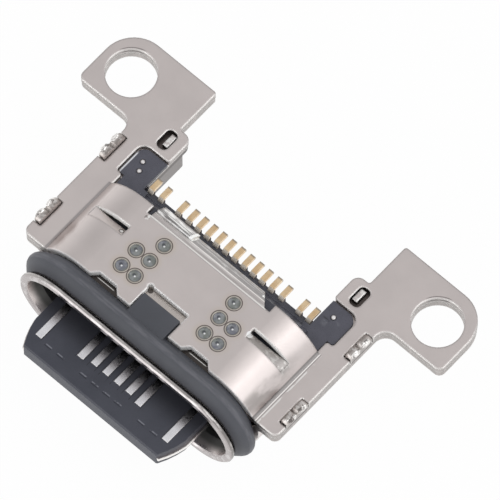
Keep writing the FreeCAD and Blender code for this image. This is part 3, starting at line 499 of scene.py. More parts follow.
# The arch's shoulders: a painted highlight on part of the left one, and painted shade on part of the right
# one
PALE_INNER = (-4.1, -4.2)
PALE_OUTER = (-4.55, -4.48)
PALE_TOP = (1.55, 1.30)
SHOULDER_SHADE_ACROSS = (4.02, 4.40)
SHOULDER_SHADE_TOP = (1.6, 1.4)
SHOULDER_SHADE_FADE = (4.0, 2.4)
LEFT_SHOULDER_HIGHLIGHT = (0.92, 0.86, 0.84)
RIGHT_SHOULDER_SHADE = (0.36, 0.33, 0.315)


def along_foot(s, side, start, end, soft):
    """1 along one foot of the arch, between two places beside it."""
    g = s.g
    low = g.all_of(g.span(s.z, *FOOT_TOP), g.span(s.y, *ARCH_REAR))
    inner, outer = FOOT_SIDE
    there = g.span(s.x, side * inner, side * outer)
    return g.all_of(low, there, g.between(s.across, ARCH_FOOT + start, ARCH_FOOT + end, soft))


def shoulders(s):
    """A painted highlight on part of the arch's left shoulder, and soft streaks of painted shade on the
    right one.
    """
    g = s.g
    left_part = g.all_of(g.span(s.x, *PALE_INNER), g.span(s.x, *PALE_OUTER))
    pale = g.all_of(g.span(s.z, *PALE_TOP), left_part, g.span(s.y, *ARCH_REAR))
    s.paint(pale, LEFT_SHOULDER_HIGHLIGHT, 0.6)
    patches = g.noise(s.place, scale=1.5, detail=3.0, roughness=0.6, stretch=(1.0, 0.5, 1.0))
    right_part = g.all_of(g.between(s.x, *SHOULDER_SHADE_ACROSS, soft=0.12), g.span(s.z, *SHOULDER_SHADE_TOP))
    shoulder_shade = g.all_of(right_part, g.span(s.y, *SHOULDER_SHADE_FADE), g.span(patches, 0.44, 0.60))
    s.paint(shoulder_shade, RIGHT_SHOULDER_SHADE, 0.75)


def arch_foot_light_and_shade(s):
    """Where the arch turns into the wings: painted shade along the left foot; at the right a painted
    highlight on the crease, between bands of painted shade.
    """
    g = s.g
    for side, lines in ((-1, LEFT_FOOT_SHADE), (1, RIGHT_FOOT_LIGHT_AND_SHADE)):
        for start, end, soft, colour, strength in lines:
            s.paint(along_foot(s, side, start, end, soft), colour, strength)
    # Bright dots beside the right crease: a dotted texture, painted white as glints
    wavy = g.noise(s.place, scale=4.0, detail=3.0, roughness=0.6, stretch=(3.0, 0.6, 1.0))
    dots = g.all_of(along_foot(s, 1, DOTS_FROM, DOTS_TO, 0.015), g.span(wavy, 0.45, 0.51))
    s.paint(dots, WARM_WHITE, 0.9)


# Hook slots of the ears: their middles and their halves, across and along
SLOT_ACROSS = 4.20
SLOT_ALONG = 6.69
SLOT_HALF_ACROSS = 0.24
SLOT_HALF_ALONG = 0.40


def in_slot(s):
    """1 inside the hook slots of both ears, seen from above."""
    g = s.g
    across = g.between(s.across, SLOT_ACROSS - SLOT_HALF_ACROSS, SLOT_ACROSS + SLOT_HALF_ACROSS, 0.01)
    along = g.between(s.y, SLOT_ALONG - SLOT_HALF_ALONG, SLOT_ALONG + SLOT_HALF_ALONG, 0.01)
    return g.all_of(across, along)


# Louvres: the pressed strip's front and rear edge and its inner end
LOUVRE_FRONT = 2.84
LOUVRE_REAR = 3.26
LOUVRE_INNER = 2.70
LOUVRE_OUTER = (4.35, 4.20)
LOUVRE_LOWEST = (0.9, 1.0)
RIGHT_END_PLACE = (2.72, 3.01)
RIGHT_END_REACH = (0.12, 0.08)
RIGHT_END_LOWEST = (1.5, 1.6)
LEFT_DOT_PLACE = (-2.84, 3.00)
LEFT_DOT_CORE = (0.065, 0.045)
LEFT_DOT_RING = (0.055, 0.095)
LEFT_DOT_LOWEST = (1.4, 1.5)
# Painted shade on the right louvre's pressed face, and the paler mottling on it
PRESSED_SHADE = (0.40, 0.38, 0.365)
PRESSED_PALE = (0.82, 0.80, 0.77)
DOT_SHADE_RIM = (0.14, 0.13, 0.12)


def louvres(s):
    """The two pressed strips: a rear lip painted white and made matt as a highlight, and at the right
    painted shade on the pressed face, mottled paler.
    """
    g = s.g
    inner = g.span(s.across, LOUVRE_INNER - 0.02, LOUVRE_INNER + 0.02)
    beside = g.all_of(inner, g.span(s.across, *LOUVRE_OUTER), g.span(s.z, *LOUVRE_LOWEST))
    rear = g.between(s.y, LOUVRE_REAR - 0.03, LOUVRE_REAR + 0.03, soft=0.01)
    wall = g.all_of(beside, rear, s.fronts())
    s.paint(wall, CLEAR_WHITE)
    s.rough(wall, 0.55)
    s.matt(wall, 0.9)
    depth = g.between(s.y, LOUVRE_FRONT, LOUVRE_REAR - 0.04)
    strip = g.all_of(beside, depth, g.span(s.upward, 0.3, 0.5), g.span(s.x, 0.0, 0.1))
    mottled = g.noise(s.place, scale=5.0, detail=3.0, roughness=0.65)
    s.paint(strip, PRESSED_SHADE, 0.75)
    s.paint(g.all_of(strip, g.span(mottled, 0.50, 0.62)), PRESSED_PALE, 0.5)


def louvre_end_highlights(s):
    """A painted highlight on the right louvre's inner end, and a painted highlight dot in a rim of painted
    shade on the left one.
    """
    g = s.g
    end = g.all_of(spot(g, s.place, RIGHT_END_PLACE, *RIGHT_END_REACH), g.span(s.z, *RIGHT_END_LOWEST))
    s.paint(end, WHITE, 0.95)
    s.matt(end, 0.7)
    away = nearest(g, s.place, (LEFT_DOT_PLACE,))
    above = g.span(s.z, *LEFT_DOT_LOWEST)
    s.paint(g.all_of(above, g.between(away, *LEFT_DOT_RING, soft=0.015)), DOT_SHADE_RIM, 0.8)
    s.paint(g.all_of(above, g.span(away, *LEFT_DOT_CORE)), WHITE, 0.95)


# Screw holes, and the direction from their middles of the arc of painted shade
HOLE_ACROSS = 6.68
HOLE_ALONG = 7.69
HOLE_RADIUS = 0.865
ARC_TOWARDS = (-0.62, 0.78, 0)
ARC_LENGTH = (0.86, 0.95)
ARC_REACH = 1.2
HOLE_RIM_LOWEST = (0.84, 0.86)
HOLE_WALL_HEIGHTS = (0.74, 0.80)
ARC_SHADE_ON_RIM = (0.16, 0.14, 0.14)
ARC_SHADE_ON_WALL = (0.10, 0.09, 0.09)


def hole_shade_arcs(s):
    """Painted shade in an arc on the rolled rim and the wall of each screw hole, at the left rear of it.
    """
    g = s.g
    for side in (-1, 1):
        middle = (side * HOLE_ACROSS, HOLE_ALONG, 0)
        away = g.vector("SUBTRACT", g.vector("MULTIPLY", s.place, (1, 1, 0)), middle)
        radius = g.vector("LENGTH", away)
        turned = g.vector("DOT_PRODUCT", g.vector("NORMALIZE", away), ARC_TOWARDS)
        sector = g.all_of(g.span(turned, *ARC_LENGTH), g.between(radius, HOLE_RADIUS - 0.02, ARC_REACH))
        rim = g.between(radius, HOLE_RADIUS + 0.055, HOLE_RADIUS + 0.085)
        s.paint(g.all_of(sector, g.span(s.z, *HOLE_RIM_LOWEST), rim), ARC_SHADE_ON_RIM, 0.85)
        s.paint(g.all_of(sector, g.between(s.z, *HOLE_WALL_HEIGHTS)), ARC_SHADE_ON_WALL, 0.85)


SLOT_WALL_SHADE = (0.05, 0.045, 0.04)


def cover_steel(g):
    s = Steel(g, edge=0.10)
    sheared_edges(s)
    s.edge_light_and_shade()
    arch_rim_highlights(s)
    hole_shade_arcs(s)
    shoulders(s)
    arch_foot_light_and_shade(s)
    flange_light_and_shade(s)
    flange_glint_and_scuff(s)
    weld_marks(s)
    # Painted shade on the walls of the hook slots
    s.paint(g.all_of(in_slot(s), s.walls()), SLOT_WALL_SHADE, 0.9)
    louvres(s)
    louvre_end_highlights(s)
    s.finish()


HOOK_TOP = 0.80
SLOT_FLOOR_SHADE = (0.075, 0.06, 0.055)
FLAP_TOP = (0.56, 0.50)
FLAP_SIDES = (3.90, 3.84)
FLAP_START = (4.5, 4.7)
FLAP_SHADE = (0.15, 0.14, 0.135)


def hooks_and_flap(s, scratches):
    """Scratched bright hooks, painted shade in their slots, and painted shade on the flap behind the arch.
    """
    g = s.g
    s.paint(g.all_of(in_slot(s), g.span(s.z, HOOK_TOP, HOOK_TOP - 0.03)), SLOT_FLOOR_SHADE, 0.95)
    flap = g.all_of(g.span(s.z, *FLAP_TOP), g.span(s.across, *FLAP_SIDES), g.span(s.y, *FLAP_START))
    s.paint(flap, FLAP_SHADE, 0.85)
    hooks = g.all_of(in_slot(s), g.span(s.z, HOOK_TOP, HOOK_TOP + 0.01))
    s.paint(g.all_of(hooks, g.span(scratches, 0.42, 0.6)), STEEL_BRIGHT, 0.9)


TAB_LOWEST = (0.875, 0.90)
TAB_INNER = (5.15, 5.2)
TAB_OUTER = (5.30, 5.40)
TAB_COLOUR = (0.26, 0.225, 0.205)
TAB_OUTER_COLOUR = (0.62, 0.58, 0.55)
TAB_SCRATCHED = (0.85, 0.82, 0.80)
INNER_FACE_LOWEST = (0.78, 0.86)
INNER_FACE_ACROSS = (5.05, 5.32)
INNER_FACE = (0.52, 0.45, 0.42)


def crimp_tabs(s, scratches):
    """The four tabs folded over the wings: darker brown-grey inside the weld beads, paler outside."""
    g = s.g
    tabs = g.all_of(g.span(s.z, *TAB_LOWEST), g.span(s.across, *TAB_INNER))
    s.paint(tabs, TAB_COLOUR, 0.85)
    s.paint(g.all_of(tabs, g.span(s.across, *TAB_OUTER)), TAB_OUTER_COLOUR, 0.7)
    s.paint(g.all_of(tabs, g.span(scratches, 0.50, 0.65)), TAB_SCRATCHED, 0.5)
    inner = g.all_of(g.span(s.z, *INNER_FACE_LOWEST), g.between(s.across, *INNER_FACE_ACROSS), s.walls())
    s.paint(inner, INNER_FACE, 0.9)
    s.matt(inner, 0.9)


STAKE_PLACES = ((-4.29, 5.61), (-4.16, 5.29), (4.02, 5.61))
STAKE_LOWEST = (0.76, 0.78)
STAKE_REACH = (0.22, 0.18)
STAKE_SHADE = (0.095, 0.12)
STAKE_HIGHLIGHT = (0.10, 0.07)
STAKE_RAGGED = 0.08
STAKE_SHADE_RIM = (0.12, 0.12, 0.14)


def stake_tops(s):
    """Stakes through the insulator's arms: ragged tops painted white as a highlight, in rims of painted
    shade.
    """
    g = s.g
    away = nearest(g, s.place, STAKE_PLACES)
    stake = g.all_of(g.span(s.z, *STAKE_LOWEST), g.span(away, *STAKE_REACH))
    uneven = g.noise(s.place, scale=6.0, detail=2.0)
    ragged = g.math("ADD", away, g.math("MULTIPLY", uneven, STAKE_RAGGED))
    s.paint(g.all_of(stake, g.span(ragged, *STAKE_SHADE)), STAKE_SHADE_RIM, 0.9)
    s.paint(g.all_of(stake, g.span(ragged, *STAKE_HIGHLIGHT)), WHITE, 0.9)


def lower_steel(g):
    s = Steel(g, edge=0.08)
    scratches = g.noise(s.place, scale=7.0, detail=3.0, roughness=0.6)
    sheared_edges(s)
    s.edge_light_and_shade()
    hooks_and_flap(s, scratches)
    crimp_tabs(s, scratches)
    stake_tops(s)
    s.finish()


# The mouth is a slot with round ends: half the distance between the middles of its ends
MOUTH_END = 2.89


def from_middle(g, across, z):
    """Distance in millimetres from the mouth's middle line, seen from the front."""
    out = g.math("MAXIMUM", g.math("SUBTRACT", across, MOUTH_END), 0.0)
    squares = g.math("ADD", g.math("MULTIPLY", out, out), g.math("MULTIPLY", z, z))
    return g.math("SQRT", squares)


# Lip, its inner edge with a painted highlight, and its collar: steps from the mouth's front and from its
# middle line
LIP_START = (0.10, 0.05)
LIP_RADIUS = (1.30, 1.34)
INNER_EDGE = (1.28, 1.335)
COLLAR_START = (0.03, 0.06)
COLLAR_STOP = (0.30, 0.27)
COLLAR_RADIUS = (1.55, 1.60)
LIP_FACE = (0.41, 0.38, 0.38)
LIP_STREAK = (0.85, 0.83, 0.82)
COLLAR = (0.34, 0.325, 0.315)
COLLAR_STREAK = (0.72, 0.69, 0.67)
COLLAR_END_SHADE = (0.15, 0.14, 0.135)


def lip(s, radius):
    """The flared lip: a streaked front face with a painted highlight along its inner edge, and a dull
    collar behind it with painted shade at its right end.
    """
    g = s.g
    drawn = g.noise(s.place, scale=2.2, detail=4.0, roughness=0.65, stretch=(1.0, 4.0, 1.0))
    along = g.all_of(g.span(s.y, *COLLAR_START), g.span(s.y, *COLLAR_STOP))
    collar = g.all_of(along, g.span(radius, *COLLAR_RADIUS))
    face = g.all_of(g.span(s.y, *LIP_START), g.span(radius, *LIP_RADIUS), s.fronts())
    inner_edge_highlight = g.all_of(g.span(s.y, *LIP_START), g.between(radius, *INNER_EDGE, soft=0.012))
    right_end = g.all_of(collar, g.span(s.x, MOUTH_END - 0.6, MOUTH_END + 0.2))
    s.paint(face, LIP_FACE, 0.8)
    s.paint(g.all_of(face, g.span(drawn, 0.52, 0.60)), LIP_STREAK, 0.4)
    s.paint(inner_edge_highlight, WARM_WHITE, 0.85)
    s.paint(collar, COLLAR, 0.75)
    s.paint(right_end, COLLAR_END_SHADE, 0.6)
    s.paint(g.all_of(collar, g.span(drawn, 0.47, 0.6)), COLLAR_STREAK, 0.6)


INSIDE_RADIUS = (1.56, 1.50)
INSIDE_START = (0.08, 0.38)
MOUTH_INSIDE_SHADE = (0.10, 0.105, 0.10)

# The shell's top in the cover's notches: painted shade in the notch, a painted highlight line across it,
# and the strip
SHELL_TOP = (1.4, 1.5)
NOTCH_ACROSS = (1.25, 2.75)
NOTCH_ALONG = (1.10, 1.50)
LINE_ACROSS = (1.65, 2.35)
LINE_ALONG = (1.30, 1.325)
STRIP_SIDES = (0.95, 0.90)
STRIP_ALONG = (1.6, 2.4)
NOTCH_SHADE = (0.035, 0.03, 0.027)
NOTCH_HIGHLIGHT_LINE = (0.95, 0.93, 0.90)
KEY_STRIP = (0.57, 0.52, 0.48)
KEY_CORNER_SHADE = (0.06, 0.05, 0.045)
KEY_DOT_PLACE = (-0.76, 2.10)
KEY_DOT_REACH = (0.12, 0.08)


def mouth_inside(s, radius):
    """Painted shade on the shell's inside behind the lip, which is also made rougher."""
    g = s.g
    inside = g.all_of(g.span(radius, *INSIDE_RADIUS), g.span(s.y, *INSIDE_START))
    s.paint(inside, MOUTH_INSIDE_SHADE, 0.9)
    s.rough(inside, 0.5)


def notches(s):
    """What shows of the shell's top in the cover's notches: painted shade beside the key with a painted
    highlight line across it, and pale behind it with painted shade in one corner.
    """
    g = s.g
    top = g.span(s.z, *SHELL_TOP)
    notch = g.all_of(g.between(s.across, *NOTCH_ACROSS, soft=0.03), top, g.between(s.y, *NOTCH_ALONG))
    s.paint(notch, NOTCH_SHADE, 0.95)
    line = g.all_of(g.between(s.y, *LINE_ALONG, soft=0.012), g.between(s.across, *LINE_ACROSS, soft=0.05))
    s.paint(g.all_of(notch, line), NOTCH_HIGHLIGHT_LINE, 0.9)
    strip = g.all_of(g.span(s.across, *STRIP_SIDES), top, g.between(s.y, *STRIP_ALONG))
    s.paint(strip, KEY_STRIP, 0.75)
    s.paint(g.all_of(strip, spot(g, s.place, KEY_DOT_PLACE, *KEY_DOT_REACH)), KEY_CORNER_SHADE, 0.9)


def shell_steel(g):
    s = Steel(g, edge=0.025, satin=0.26)
    s.edge_light_and_shade()
    radius = from_middle(g, s.across, s.z)
    lip(s, radius)
    mouth_inside(s, radius)
    notches(s)
    s.finish()


def mid_steel(g):
    s = Steel(g, edge=0.03, satin=0.22)
    s.edge_light_and_shade()
    # Upright faces painted near white as a highlight
    s.paint(s.walls(), WARM_WHITE, 0.8)
    s.finish()


CREST_RADIUS = (1.96, 2.00)
CREST_ALONG = (0.62, 0.80)
FRONT_RADIUS = (1.60, 1.64)
FRONT_STOP = (0.50, 0.34)
RUBBER_LOW = (0.058, 0.061, 0.073)
RUBBER_HIGH = (0.074, 0.077, 0.091)
RUBBER_CREST_HIGHLIGHT = (0.17, 0.17, 0.19)
RUBBER_FRONT_SHADE = (0.030, 0.030, 0.038)
RUBBER_EDGE_HIGHLIGHT = (0.15, 0.15, 0.17)


def rubber(g):
    """Soft grey rubber, with streaks of painted highlight along its crest, painted shade on its front, and
    painted highlights on its edges.
    """
    place = g.millimetres()
    x, y, z = g.axes(place)
    cloudy = g.noise(place, scale=0.6, detail=4.0)
    grain = g.noise(place, scale=24.0, detail=3.0, roughness=0.6)
    streaks = g.noise(place, scale=1.6, detail=4.0, roughness=0.6, stretch=(1.0, 6.0, 1.0))
    worn, rounded = g.edges(0.05)
    radius = from_middle(g, g.math("ABSOLUTE", x), z)
    crest = g.all_of(g.span(radius, *CREST_RADIUS), g.between(y, *CREST_ALONG, soft=0.05))
    front = g.all_of(g.span(radius, *FRONT_RADIUS), g.span(y, *FRONT_STOP))
    colour = g.mix(g.span(cloudy, *SPREAD), RUBBER_LOW, RUBBER_HIGH)
    colour = g.mix(g.all_of(crest, g.span(streaks, 0.35, 0.65, 0.2, 0.6)), colour, RUBBER_CREST_HIGHLIGHT)
    colour = g.mix(g.math("MULTIPLY", front, 0.45), colour, RUBBER_FRONT_SHADE)
    colour = g.mix(g.math("MULTIPLY", worn, 0.20), colour, RUBBER_EDGE_HIGHLIGHT)
    roughness = g.span(grain, *SPREAD, 0.46, 0.56)
    g.shade(colour, roughness, 0.0, g.bump(grain, 0.004, 0.4, rounded))


PLASTIC_EDGE_HIGHLIGHT = (0.17, 0.17, 0.19)


def plastic(g, colours, roughnesses, marks):
    """Moulded plastic between two colours and two roughnesses, with the piece's own marks."""
    place = g.millimetres()
    cloudy = g.noise(place, scale=0.9, detail=4.0)
    grain = g.noise(place, scale=30.0, detail=3.0, roughness=0.6)
    worn, rounded = g.edges(0.03)
    colour = g.mix(g.span(cloudy, *SPREAD), *colours)
    # Painted highlight on the edges
    colour = g.mix(g.math("MULTIPLY", worn, 0.45), colour, PLASTIC_EDGE_HIGHLIGHT)
    colour, height = marks(g, place, colour, grain)
    roughness = g.span(grain, *SPREAD, *roughnesses)
    g.shade(colour, roughness, 0.0, g.bump(height, 0.004, 0.5, rounded))


# The insulator's arms: their top and sides, and where they catch light, are rubbed or are dark
ARM_TOP = (0.70, 0.74)
ARM_SIDES = (3.25, 3.65)
ARM_EDGE = 4.67
GLANCE_ALONG = (4.45, 5.75)
RUBBED_ACROSS = (3.80, 4.35)
RUBBED_ALONG = (5.20, 5.55)
DARK_ACROSS = (3.70, 4.00)
DARK_ALONG = (5.15, 5.45)
ARM_COLOUR = (0.088, 0.088, 0.112)
ARM_GLANCE = (0.80, 0.81, 0.84)
ARM_RUBBED = (0.20, 0.205, 0.23)
ARM_DARK = (0.008, 0.008, 0.012)


def arm_shine(g, place, colour, height):
    """Light on the left arm's rounded outer edge, and faint rubbed marks on the right arm."""
    x, y, z = g.axes(place)
    broken = g.noise(place, scale=2.6, detail=2.0, roughness=0.5)
    marks = g.noise(place, scale=3.4, detail=3.0, roughness=0.6)
    top = g.span(z, *ARM_TOP)
    sides = g.span(g.math("ABSOLUTE", x), *ARM_SIDES)
    arms = g.all_of(top, sides, g.span(broken, *SPREAD, 0.6, 1.0))
    colour = g.mix(arms, colour, ARM_COLOUR)
    outer_edge = g.between(x, -ARM_EDGE + 0.01, -ARM_EDGE + 0.06, soft=0.015)
    along = g.between(y, *GLANCE_ALONG, soft=0.08)
    rim = g.all_of(top, outer_edge, along, g.span(broken, 0.36, 0.48))
    colour = g.mix(rim, colour, ARM_GLANCE)
    rubbed_part = g.all_of(g.between(x, *RUBBED_ACROSS, soft=0.10), g.between(y, *RUBBED_ALONG, soft=0.08))
    rubbed = g.all_of(top, rubbed_part, g.span(marks, 0.55, 0.66))
    colour = g.mix(g.math("MULTIPLY", rubbed, 0.5), colour, ARM_RUBBED)
    dark_part = g.all_of(g.between(x, *DARK_ACROSS, soft=0.06), g.between(y, *DARK_ALONG, soft=0.05))
    dark = g.all_of(top, dark_part, g.span(marks, 0.50, 0.42))
    colour = g.mix(g.math("MULTIPLY", dark, 0.8), colour, ARM_DARK)
    return colour, height


INSULATOR_COLOURS = ((0.050, 0.051, 0.068), (0.070, 0.071, 0.090))
INSULATOR_ROUGHNESSES = (0.26, 0.36)


def insulator(g):
    plastic(g, INSULATOR_COLOURS, INSULATOR_ROUGHNESSES, arm_shine)


# Moulding marks on the tongue, ahead of the contacts
MARK_PLACES = (-2.28, -1.75, -0.75, -0.25, 0.25, 0.75, 1.75, 2.30)
MARK_FRONT = -1.16
MARK_LINE_HALF = (0.17, 0.13)
MARK_LIP_HALF = (0.16, 0.12)
MARK_LINE_SHADE = (0.012, 0.012, 0.016)
MARK_LIP_HIGHLIGHT = (0.22, 0.225, 0.26)

# Grooves beside the contacts, painted as shade: the middle ones as shares of the contacts' pitch, and the
# outer ones
MIDDLE_SIDES = (1.46, 1.42)
MIDDLE_START = (-0.86, -0.80)
MIDDLE_PITCH = (0.30, 0.345)
OUTER_ACROSS = (2.59, 2.615)
OUTER_START = (-1.20, -1.14)
DEEP_START = (-0.75, 0.15)
GROOVE_SHADE = (0.010, 0.010, 0.014)
DEEP_SHADE = (0.012, 0.012, 0.016)
TONGUE_TOP = (0.30, 0.33)


def pressed_lines(g, place, colour, height):
    """Short pressed lines ahead of the contacts, dented and painted dark as shade, each with a lip behind
    it painted pale as a highlight.
    """
    x, y, z = g.axes(place)
    least = None
    for across in MARK_PLACES:
        away = g.math("ABSOLUTE", g.math("SUBTRACT", x, across))
        least = away if least is None else g.math("MINIMUM", least, away)
    broken = g.noise(place, scale=6.0, detail=2.0, roughness=0.6)
    upper = g.span(z, *TONGUE_TOP)
    line_depth = g.between(y, MARK_FRONT - 0.04, MARK_FRONT - 0.02, soft=0.015)
    line = g.all_of(upper, g.span(least, *MARK_LINE_HALF), line_depth)
    lip_depth = g.between(y, MARK_FRONT, MARK_FRONT + 0.035, soft=0.015)
    lips = g.all_of(upper, g.span(least, *MARK_LIP_HALF), lip_depth, g.span(broken, 0.38, 0.52))
    colour = g.mix(g.math("MULTIPLY", line, 0.6), colour, MARK_LINE_SHADE)
    colour = g.mix(g.math("MULTIPLY", lips, 0.9), colour, MARK_LIP_HIGHLIGHT)
    height = g.math("SUBTRACT", height, g.math("MULTIPLY", line, 6.0))
    return colour, height


def contact_grooves(g, place, colour):
    """Fine grooves beside the contacts on the tongue's upper face, painted dark as shade."""
    x, y, z = g.axes(place)
    broken = g.noise(place, scale=6.0, detail=2.0, roughness=0.6)
    across = g.math("ABSOLUTE", x)
    pitch = g.math("ABSOLUTE", g.math("SUBTRACT", g.math("FRACT", g.math("MULTIPLY", x, 2.0)), 0.5))
    middle = g.all_of(
        g.span(across, *MIDDLE_SIDES),
        g.between(pitch, *MIDDLE_PITCH, soft=0.015),
        g.span(y, *MIDDLE_START),
    )
    outer = g.all_of(g.between(across, *OUTER_ACROSS, soft=0.01), g.span(y, *OUTER_START))
    grooves = g.all_of(
        g.span(z, *TONGUE_TOP),
        g.math("ADD", middle, outer),
        g.span(broken, 0.40, 0.50, 0.3, 0.8),
    )
    return g.mix(grooves, colour, GROOVE_SHADE)


def tongue_marks(g, place, colour, height):
    """Pressed lines, grooves, and painted shade on the root deep in the mouth, on the upper face."""
    colour, height = pressed_lines(g, place, colour, height)
    colour = contact_grooves(g, place, colour)
    _, y, z = g.axes(place)
    deep = g.all_of(g.span(y, *DEEP_START), g.span(z, *TONGUE_TOP))
    colour = g.mix(g.math("MULTIPLY", deep, 0.6), colour, DEEP_SHADE)
    return colour, height


TONGUE_COLOURS = ((0.044, 0.047, 0.064), (0.056, 0.059, 0.078))
TONGUE_ROUGHNESSES = (0.40, 0.50)


def tongue(g):
    plastic(g, TONGUE_COLOURS, TONGUE_ROUGHNESSES, tongue_marks)


# Contacts: silvery blades with painted shade that darkens them into the mouth, and yellow solder tails
SILVER_SHADE_FADE = (-0.60, 0.40)
YELLOW_START = (3.6, 4.4)
BEND_LOWEST = (0.40, 0.46)
BEND_ALONG = (4.80, 5.10)
TIP_LOWEST = (0.50, 0.55)
TIP_START = (5.47, 5.52)
SILVER_LOW = (0.84, 0.83, 0.86)
SILVER_HIGH = (0.93, 0.92, 0.95)
SILVER_DEEP_SHADE = (0.06, 0.06, 0.07)
YELLOW_LOW = (0.74, 0.52, 0.30)
YELLOW_HIGH = (0.88, 0.68, 0.44)
BEND_HIGHLIGHT = (1.0, 0.92, 0.80)
TIP_COLOUR = (0.30, 0.27, 0.24)
PLATING_EDGE_HIGHLIGHT = (1.0, 0.94, 0.84)


def plating(g):
    """Plated contacts: silver in the mouth, darkening inwards as painted shade, yellow at the tails, with
    painted highlights on the bends and edges, and dull tips.
    """
    place = g.millimetres()
    _, y, z = g.axes(place)
    grain = g.noise(place, scale=12.0, detail=3.0, roughness=0.6)
    cloudy = g.noise(place, scale=2.2, detail=3.0)
    worn, rounded = g.edges(0.025)
    silver = g.mix(g.span(cloudy, *SPREAD), SILVER_LOW, SILVER_HIGH)
    silver = g.mix(g.span(y, *SILVER_SHADE_FADE), silver, SILVER_DEEP_SHADE)
    yellow = g.mix(g.span(cloudy, *SPREAD), YELLOW_LOW, YELLOW_HIGH)
    colour = g.mix(g.span(y, *YELLOW_START), silver, yellow)
    bend = g.all_of(g.span(z, *BEND_LOWEST), g.between(y, *BEND_ALONG, soft=0.03))
    tip = g.all_of(g.span(z, *TIP_LOWEST), g.span(y, *TIP_START))
    colour = g.mix(g.math("MULTIPLY", bend, 0.9), colour, BEND_HIGHLIGHT)
    colour = g.mix(g.math("MULTIPLY", tip, 0.75), colour, TIP_COLOUR)
    colour = g.mix(g.math("MULTIPLY", worn, 0.45), colour, PLATING_EDGE_HIGHLIGHT)
    roughness = g.span(grain, *SPREAD, 0.24, 0.34)
    metal = g.math("SUBTRACT", 1.0, g.math("MULTIPLY", bend, 0.85))
    g.shade(colour, roughness, metal, g.bump(grain, 0.003, 0.3, rounded))


MELT_HOLLOW_DARK = (0.20, 0.18, 0.17)
MELT_BRIGHT = (0.98, 0.95, 0.92)


def weld_metal(g):
    """Metal that has run and set: glossy, uneven, darker in its hollows."""
    place = g.millimetres()
    lumps = g.noise(place, scale=5.0, detail=3.0, roughness=0.6)
    grain = g.noise(place, scale=18.0, detail=3.0, roughness=0.6)
    colour = g.mix(g.span(lumps, 0.36, 0.52), MELT_HOLLOW_DARK, MELT_BRIGHT)
    roughness = g.span(grain, *SPREAD, 0.12, 0.24)
    height = g.math("ADD", g.math("MULTIPLY", lumps, 4.0), grain)
    g.shade(colour, roughness, 1.0, g.bump(height, 0.010, 0.7))


# Weld beads on the four crimp tabs: two uneven beads on each, where metal has run
TAB_MIDDLES = (2.22, 5.32)
BEAD_ACROSS = 5.47
BEAD_HEIGHT = 1.00
BEAD_SPREAD = 0.25
BEAD_REACH = (0.095, 0.19, 0.10)
BEAD_SHIFT = (7.3, 3.1, 5.7)

# Unevenness of a bead: how fine and how strong, for its lumps and for its ripples
LUMP_SCALE = 1.7
LUMP_SWELL = 0.28
RIPPLE_SCALE = 4.5
RIPPLE_SWELL = 0.10


def weld_bead(name, middle, seed):
    """An uneven bead, as a ball of many small faces pushed in and out."""
    shape = bmesh.new()
    bmesh.ops.create_icosphere(shape, subdivisions=4, radius=1.0)
    shift = Vector([seed * part for part in BEAD_SHIFT])
    for vertex in shape.verts:
        out = vertex.co.normalized()
        lump = LUMP_SWELL * noise.noise(out * LUMP_SCALE + shift)
        ripple = RIPPLE_SWELL * noise.noise(out * RIPPLE_SCALE + shift)
        swell = 1.0 + lump + ripple
        for axis in range(3):
            vertex.co[axis] = (middle[axis] + out[axis] * swell * BEAD_REACH[axis]) * MM
    for face in shape.faces:
        face.smooth = True
    mesh = bpy.data.meshes.new(name)
    shape.to_mesh(mesh)
    shape.free()
    return mesh


def weld_beads():
    metal = material("weld_metal", weld_metal)
    seed = 0
    for side in (-1, 1):
        for middle in TAB_MIDDLES:
            for step in (-1, 1):
                seed += 1
                name = "weld_bead_%d" % seed
                centre = (side * BEAD_ACROSS, middle + step * BEAD_SPREAD, BEAD_HEIGHT)
                mesh = weld_bead(name, centre, seed)
                mesh.materials.append(metal)
                bead = bpy.data.objects.new(name, mesh)
                bpy.context.scene.collection.objects.link(bead)
                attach(bead, "root")


def dress():
    """Give every piece its material: the contacts share one, and each other piece has its own."""
    finishes = {
        "cover_plate": material("cover_steel", cover_steel),
        "lower_plate": material("lower_steel", lower_steel),
        "inner_shell": material("shell_steel", shell_steel),
        "mid_plate": material("mid_steel", mid_steel),
        "insulator_body": material("insulator_plastic", insulator),
        "tongue_moulding": material("tongue_plastic", tongue),
        "seal_ring": material("seal_rubber", rubber),
    }
    plated = material("contact_plating", plating)
    for name, piece in nodes.items():
        piece.data.materials.clear()
        piece.data.materials.append(finishes.get(name, plated))


# Floor: a pale sheet that the camera sees as white, with the part's shadow on it
FLOOR_HALF = 0.9
FLOOR_GREY = (0.86, 0.86, 0.86, 1)
FLOOR_WHITE = (1, 1, 1, 1)
FLOOR_SHARE = 0.97


def floor_paper(g):
    seen = g.add("ShaderNodeLightPath")
    shown = g.math("MAXIMUM", seen.outputs["Is Camera Ray"], seen.outputs["Is Glossy Ray"])
    shown = g.math("MAXIMUM", shown, seen.outputs["Is Transmission Ray"])
    matt = g.add("ShaderNodeBsdfDiffuse")
    matt.inputs["Color"].default_value = FLOOR_GREY
    white = g.add("ShaderNodeEmission")
    white.inputs["Color"].default_value = FLOOR_WHITE
    white.inputs["Strength"].default_value = 1.0
    blend = g.add("ShaderNodeMixShader")
    g.put(blend.inputs[0], g.math("MULTIPLY", shown, FLOOR_SHARE))
    g.put(blend.inputs[1], matt.outputs[0])
    g.put(blend.inputs[2], white.outputs[0])
    out = g.add("ShaderNodeOutputMaterial")
    g.put(out.inputs["Surface"], blend.outputs[0])


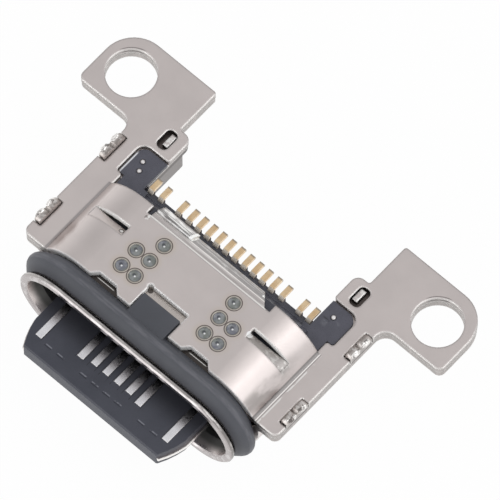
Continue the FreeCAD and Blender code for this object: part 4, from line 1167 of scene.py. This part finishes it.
def pale_floor():
    mesh = bpy.data.meshes.new("floor")
    corners = []
    for x, y in ((-1, -1), (1, -1), (1, 1), (-1, 1)):
        corners.append((x * FLOOR_HALF, y * FLOOR_HALF, cad_low.z))
    mesh.from_pydata(corners, [], [(0, 1, 2, 3)])
    mesh.materials.append(material("floor_paper", floor_paper))
    floor = bpy.data.objects.new("floor", mesh)
    bpy.context.scene.collection.objects.link(floor)


# Sky: level at the horizon and overhead, and panels as direction, soft edge, core and strength
HORIZON_LEVEL = 0.95
CEILING_LEVEL = 0.70
CEILING_FROM = 0.75
SKY_COLOUR = (0.985, 0.99, 1.0)
PANELS = (
    ((0.66, 0.30, 0.69), 0.90, 0.975, 0.82),
    ((-0.25, -0.93, 0.26), 0.86, 0.97, 1.1),
    ((-0.88, 0.33, 0.35), 0.70, 0.97, -0.10),
)


def studio_sky():
    """A soft grey ceiling, paler towards the horizon, with broad panels; white to the camera."""
    world = bpy.data.worlds.new("studio")
    world.use_nodes = True
    bpy.context.scene.world = world
    g = Graph(world.node_tree)
    direction = g.vector("NORMALIZE", g.add("ShaderNodeTexCoord").outputs["Generated"])
    height = g.axes(direction)[2]
    level = g.span(height, 0.0, CEILING_FROM, HORIZON_LEVEL, CEILING_LEVEL)
    for towards, edge, core, strength in PANELS:
        aligned = g.vector("DOT_PRODUCT", direction, Vector(towards).normalized())
        level = g.math("ADD", level, g.span(aligned, edge, core, 0.0, strength))
    seen = g.add("ShaderNodeLightPath").outputs["Is Camera Ray"]
    unseen = g.math("SUBTRACT", 1.0, seen)
    light = g.add("ShaderNodeBackground")
    g.put(light.inputs["Color"], g.mix(seen, SKY_COLOUR, WHITE))
    g.put(light.inputs["Strength"], g.math("ADD", g.math("MULTIPLY", level, unseen), seen))
    out = g.add("ShaderNodeOutputWorld")
    g.put(out.inputs["Surface"], light.outputs[0])


# The key lamp: a square panel above the part, a little behind and to the right
LAMP_TOWARDS = (0.30, 0.10, 0.90)
LAMP_DISTANCE = 0.35
LAMP_SIZE = 0.22
LAMP_POWER = 0.10


def key_panel():
    light = bpy.data.lights.new("key_panel", "AREA")
    light.shape = "SQUARE"
    light.size = LAMP_SIZE
    light.energy = LAMP_POWER
    panel = bpy.data.objects.new("key_panel", light)
    bpy.context.scene.collection.objects.link(panel)
    out = Vector(LAMP_TOWARDS).normalized()
    place = out.to_track_quat("Z", "Y").to_matrix().to_4x4()
    place.translation = out * LAMP_DISTANCE
    panel.matrix_world = place


place_camera()
dress()
weld_beads()
pale_floor()
studio_sky()
key_panel()
bpy.context.scene.view_settings.view_transform = "Standard"
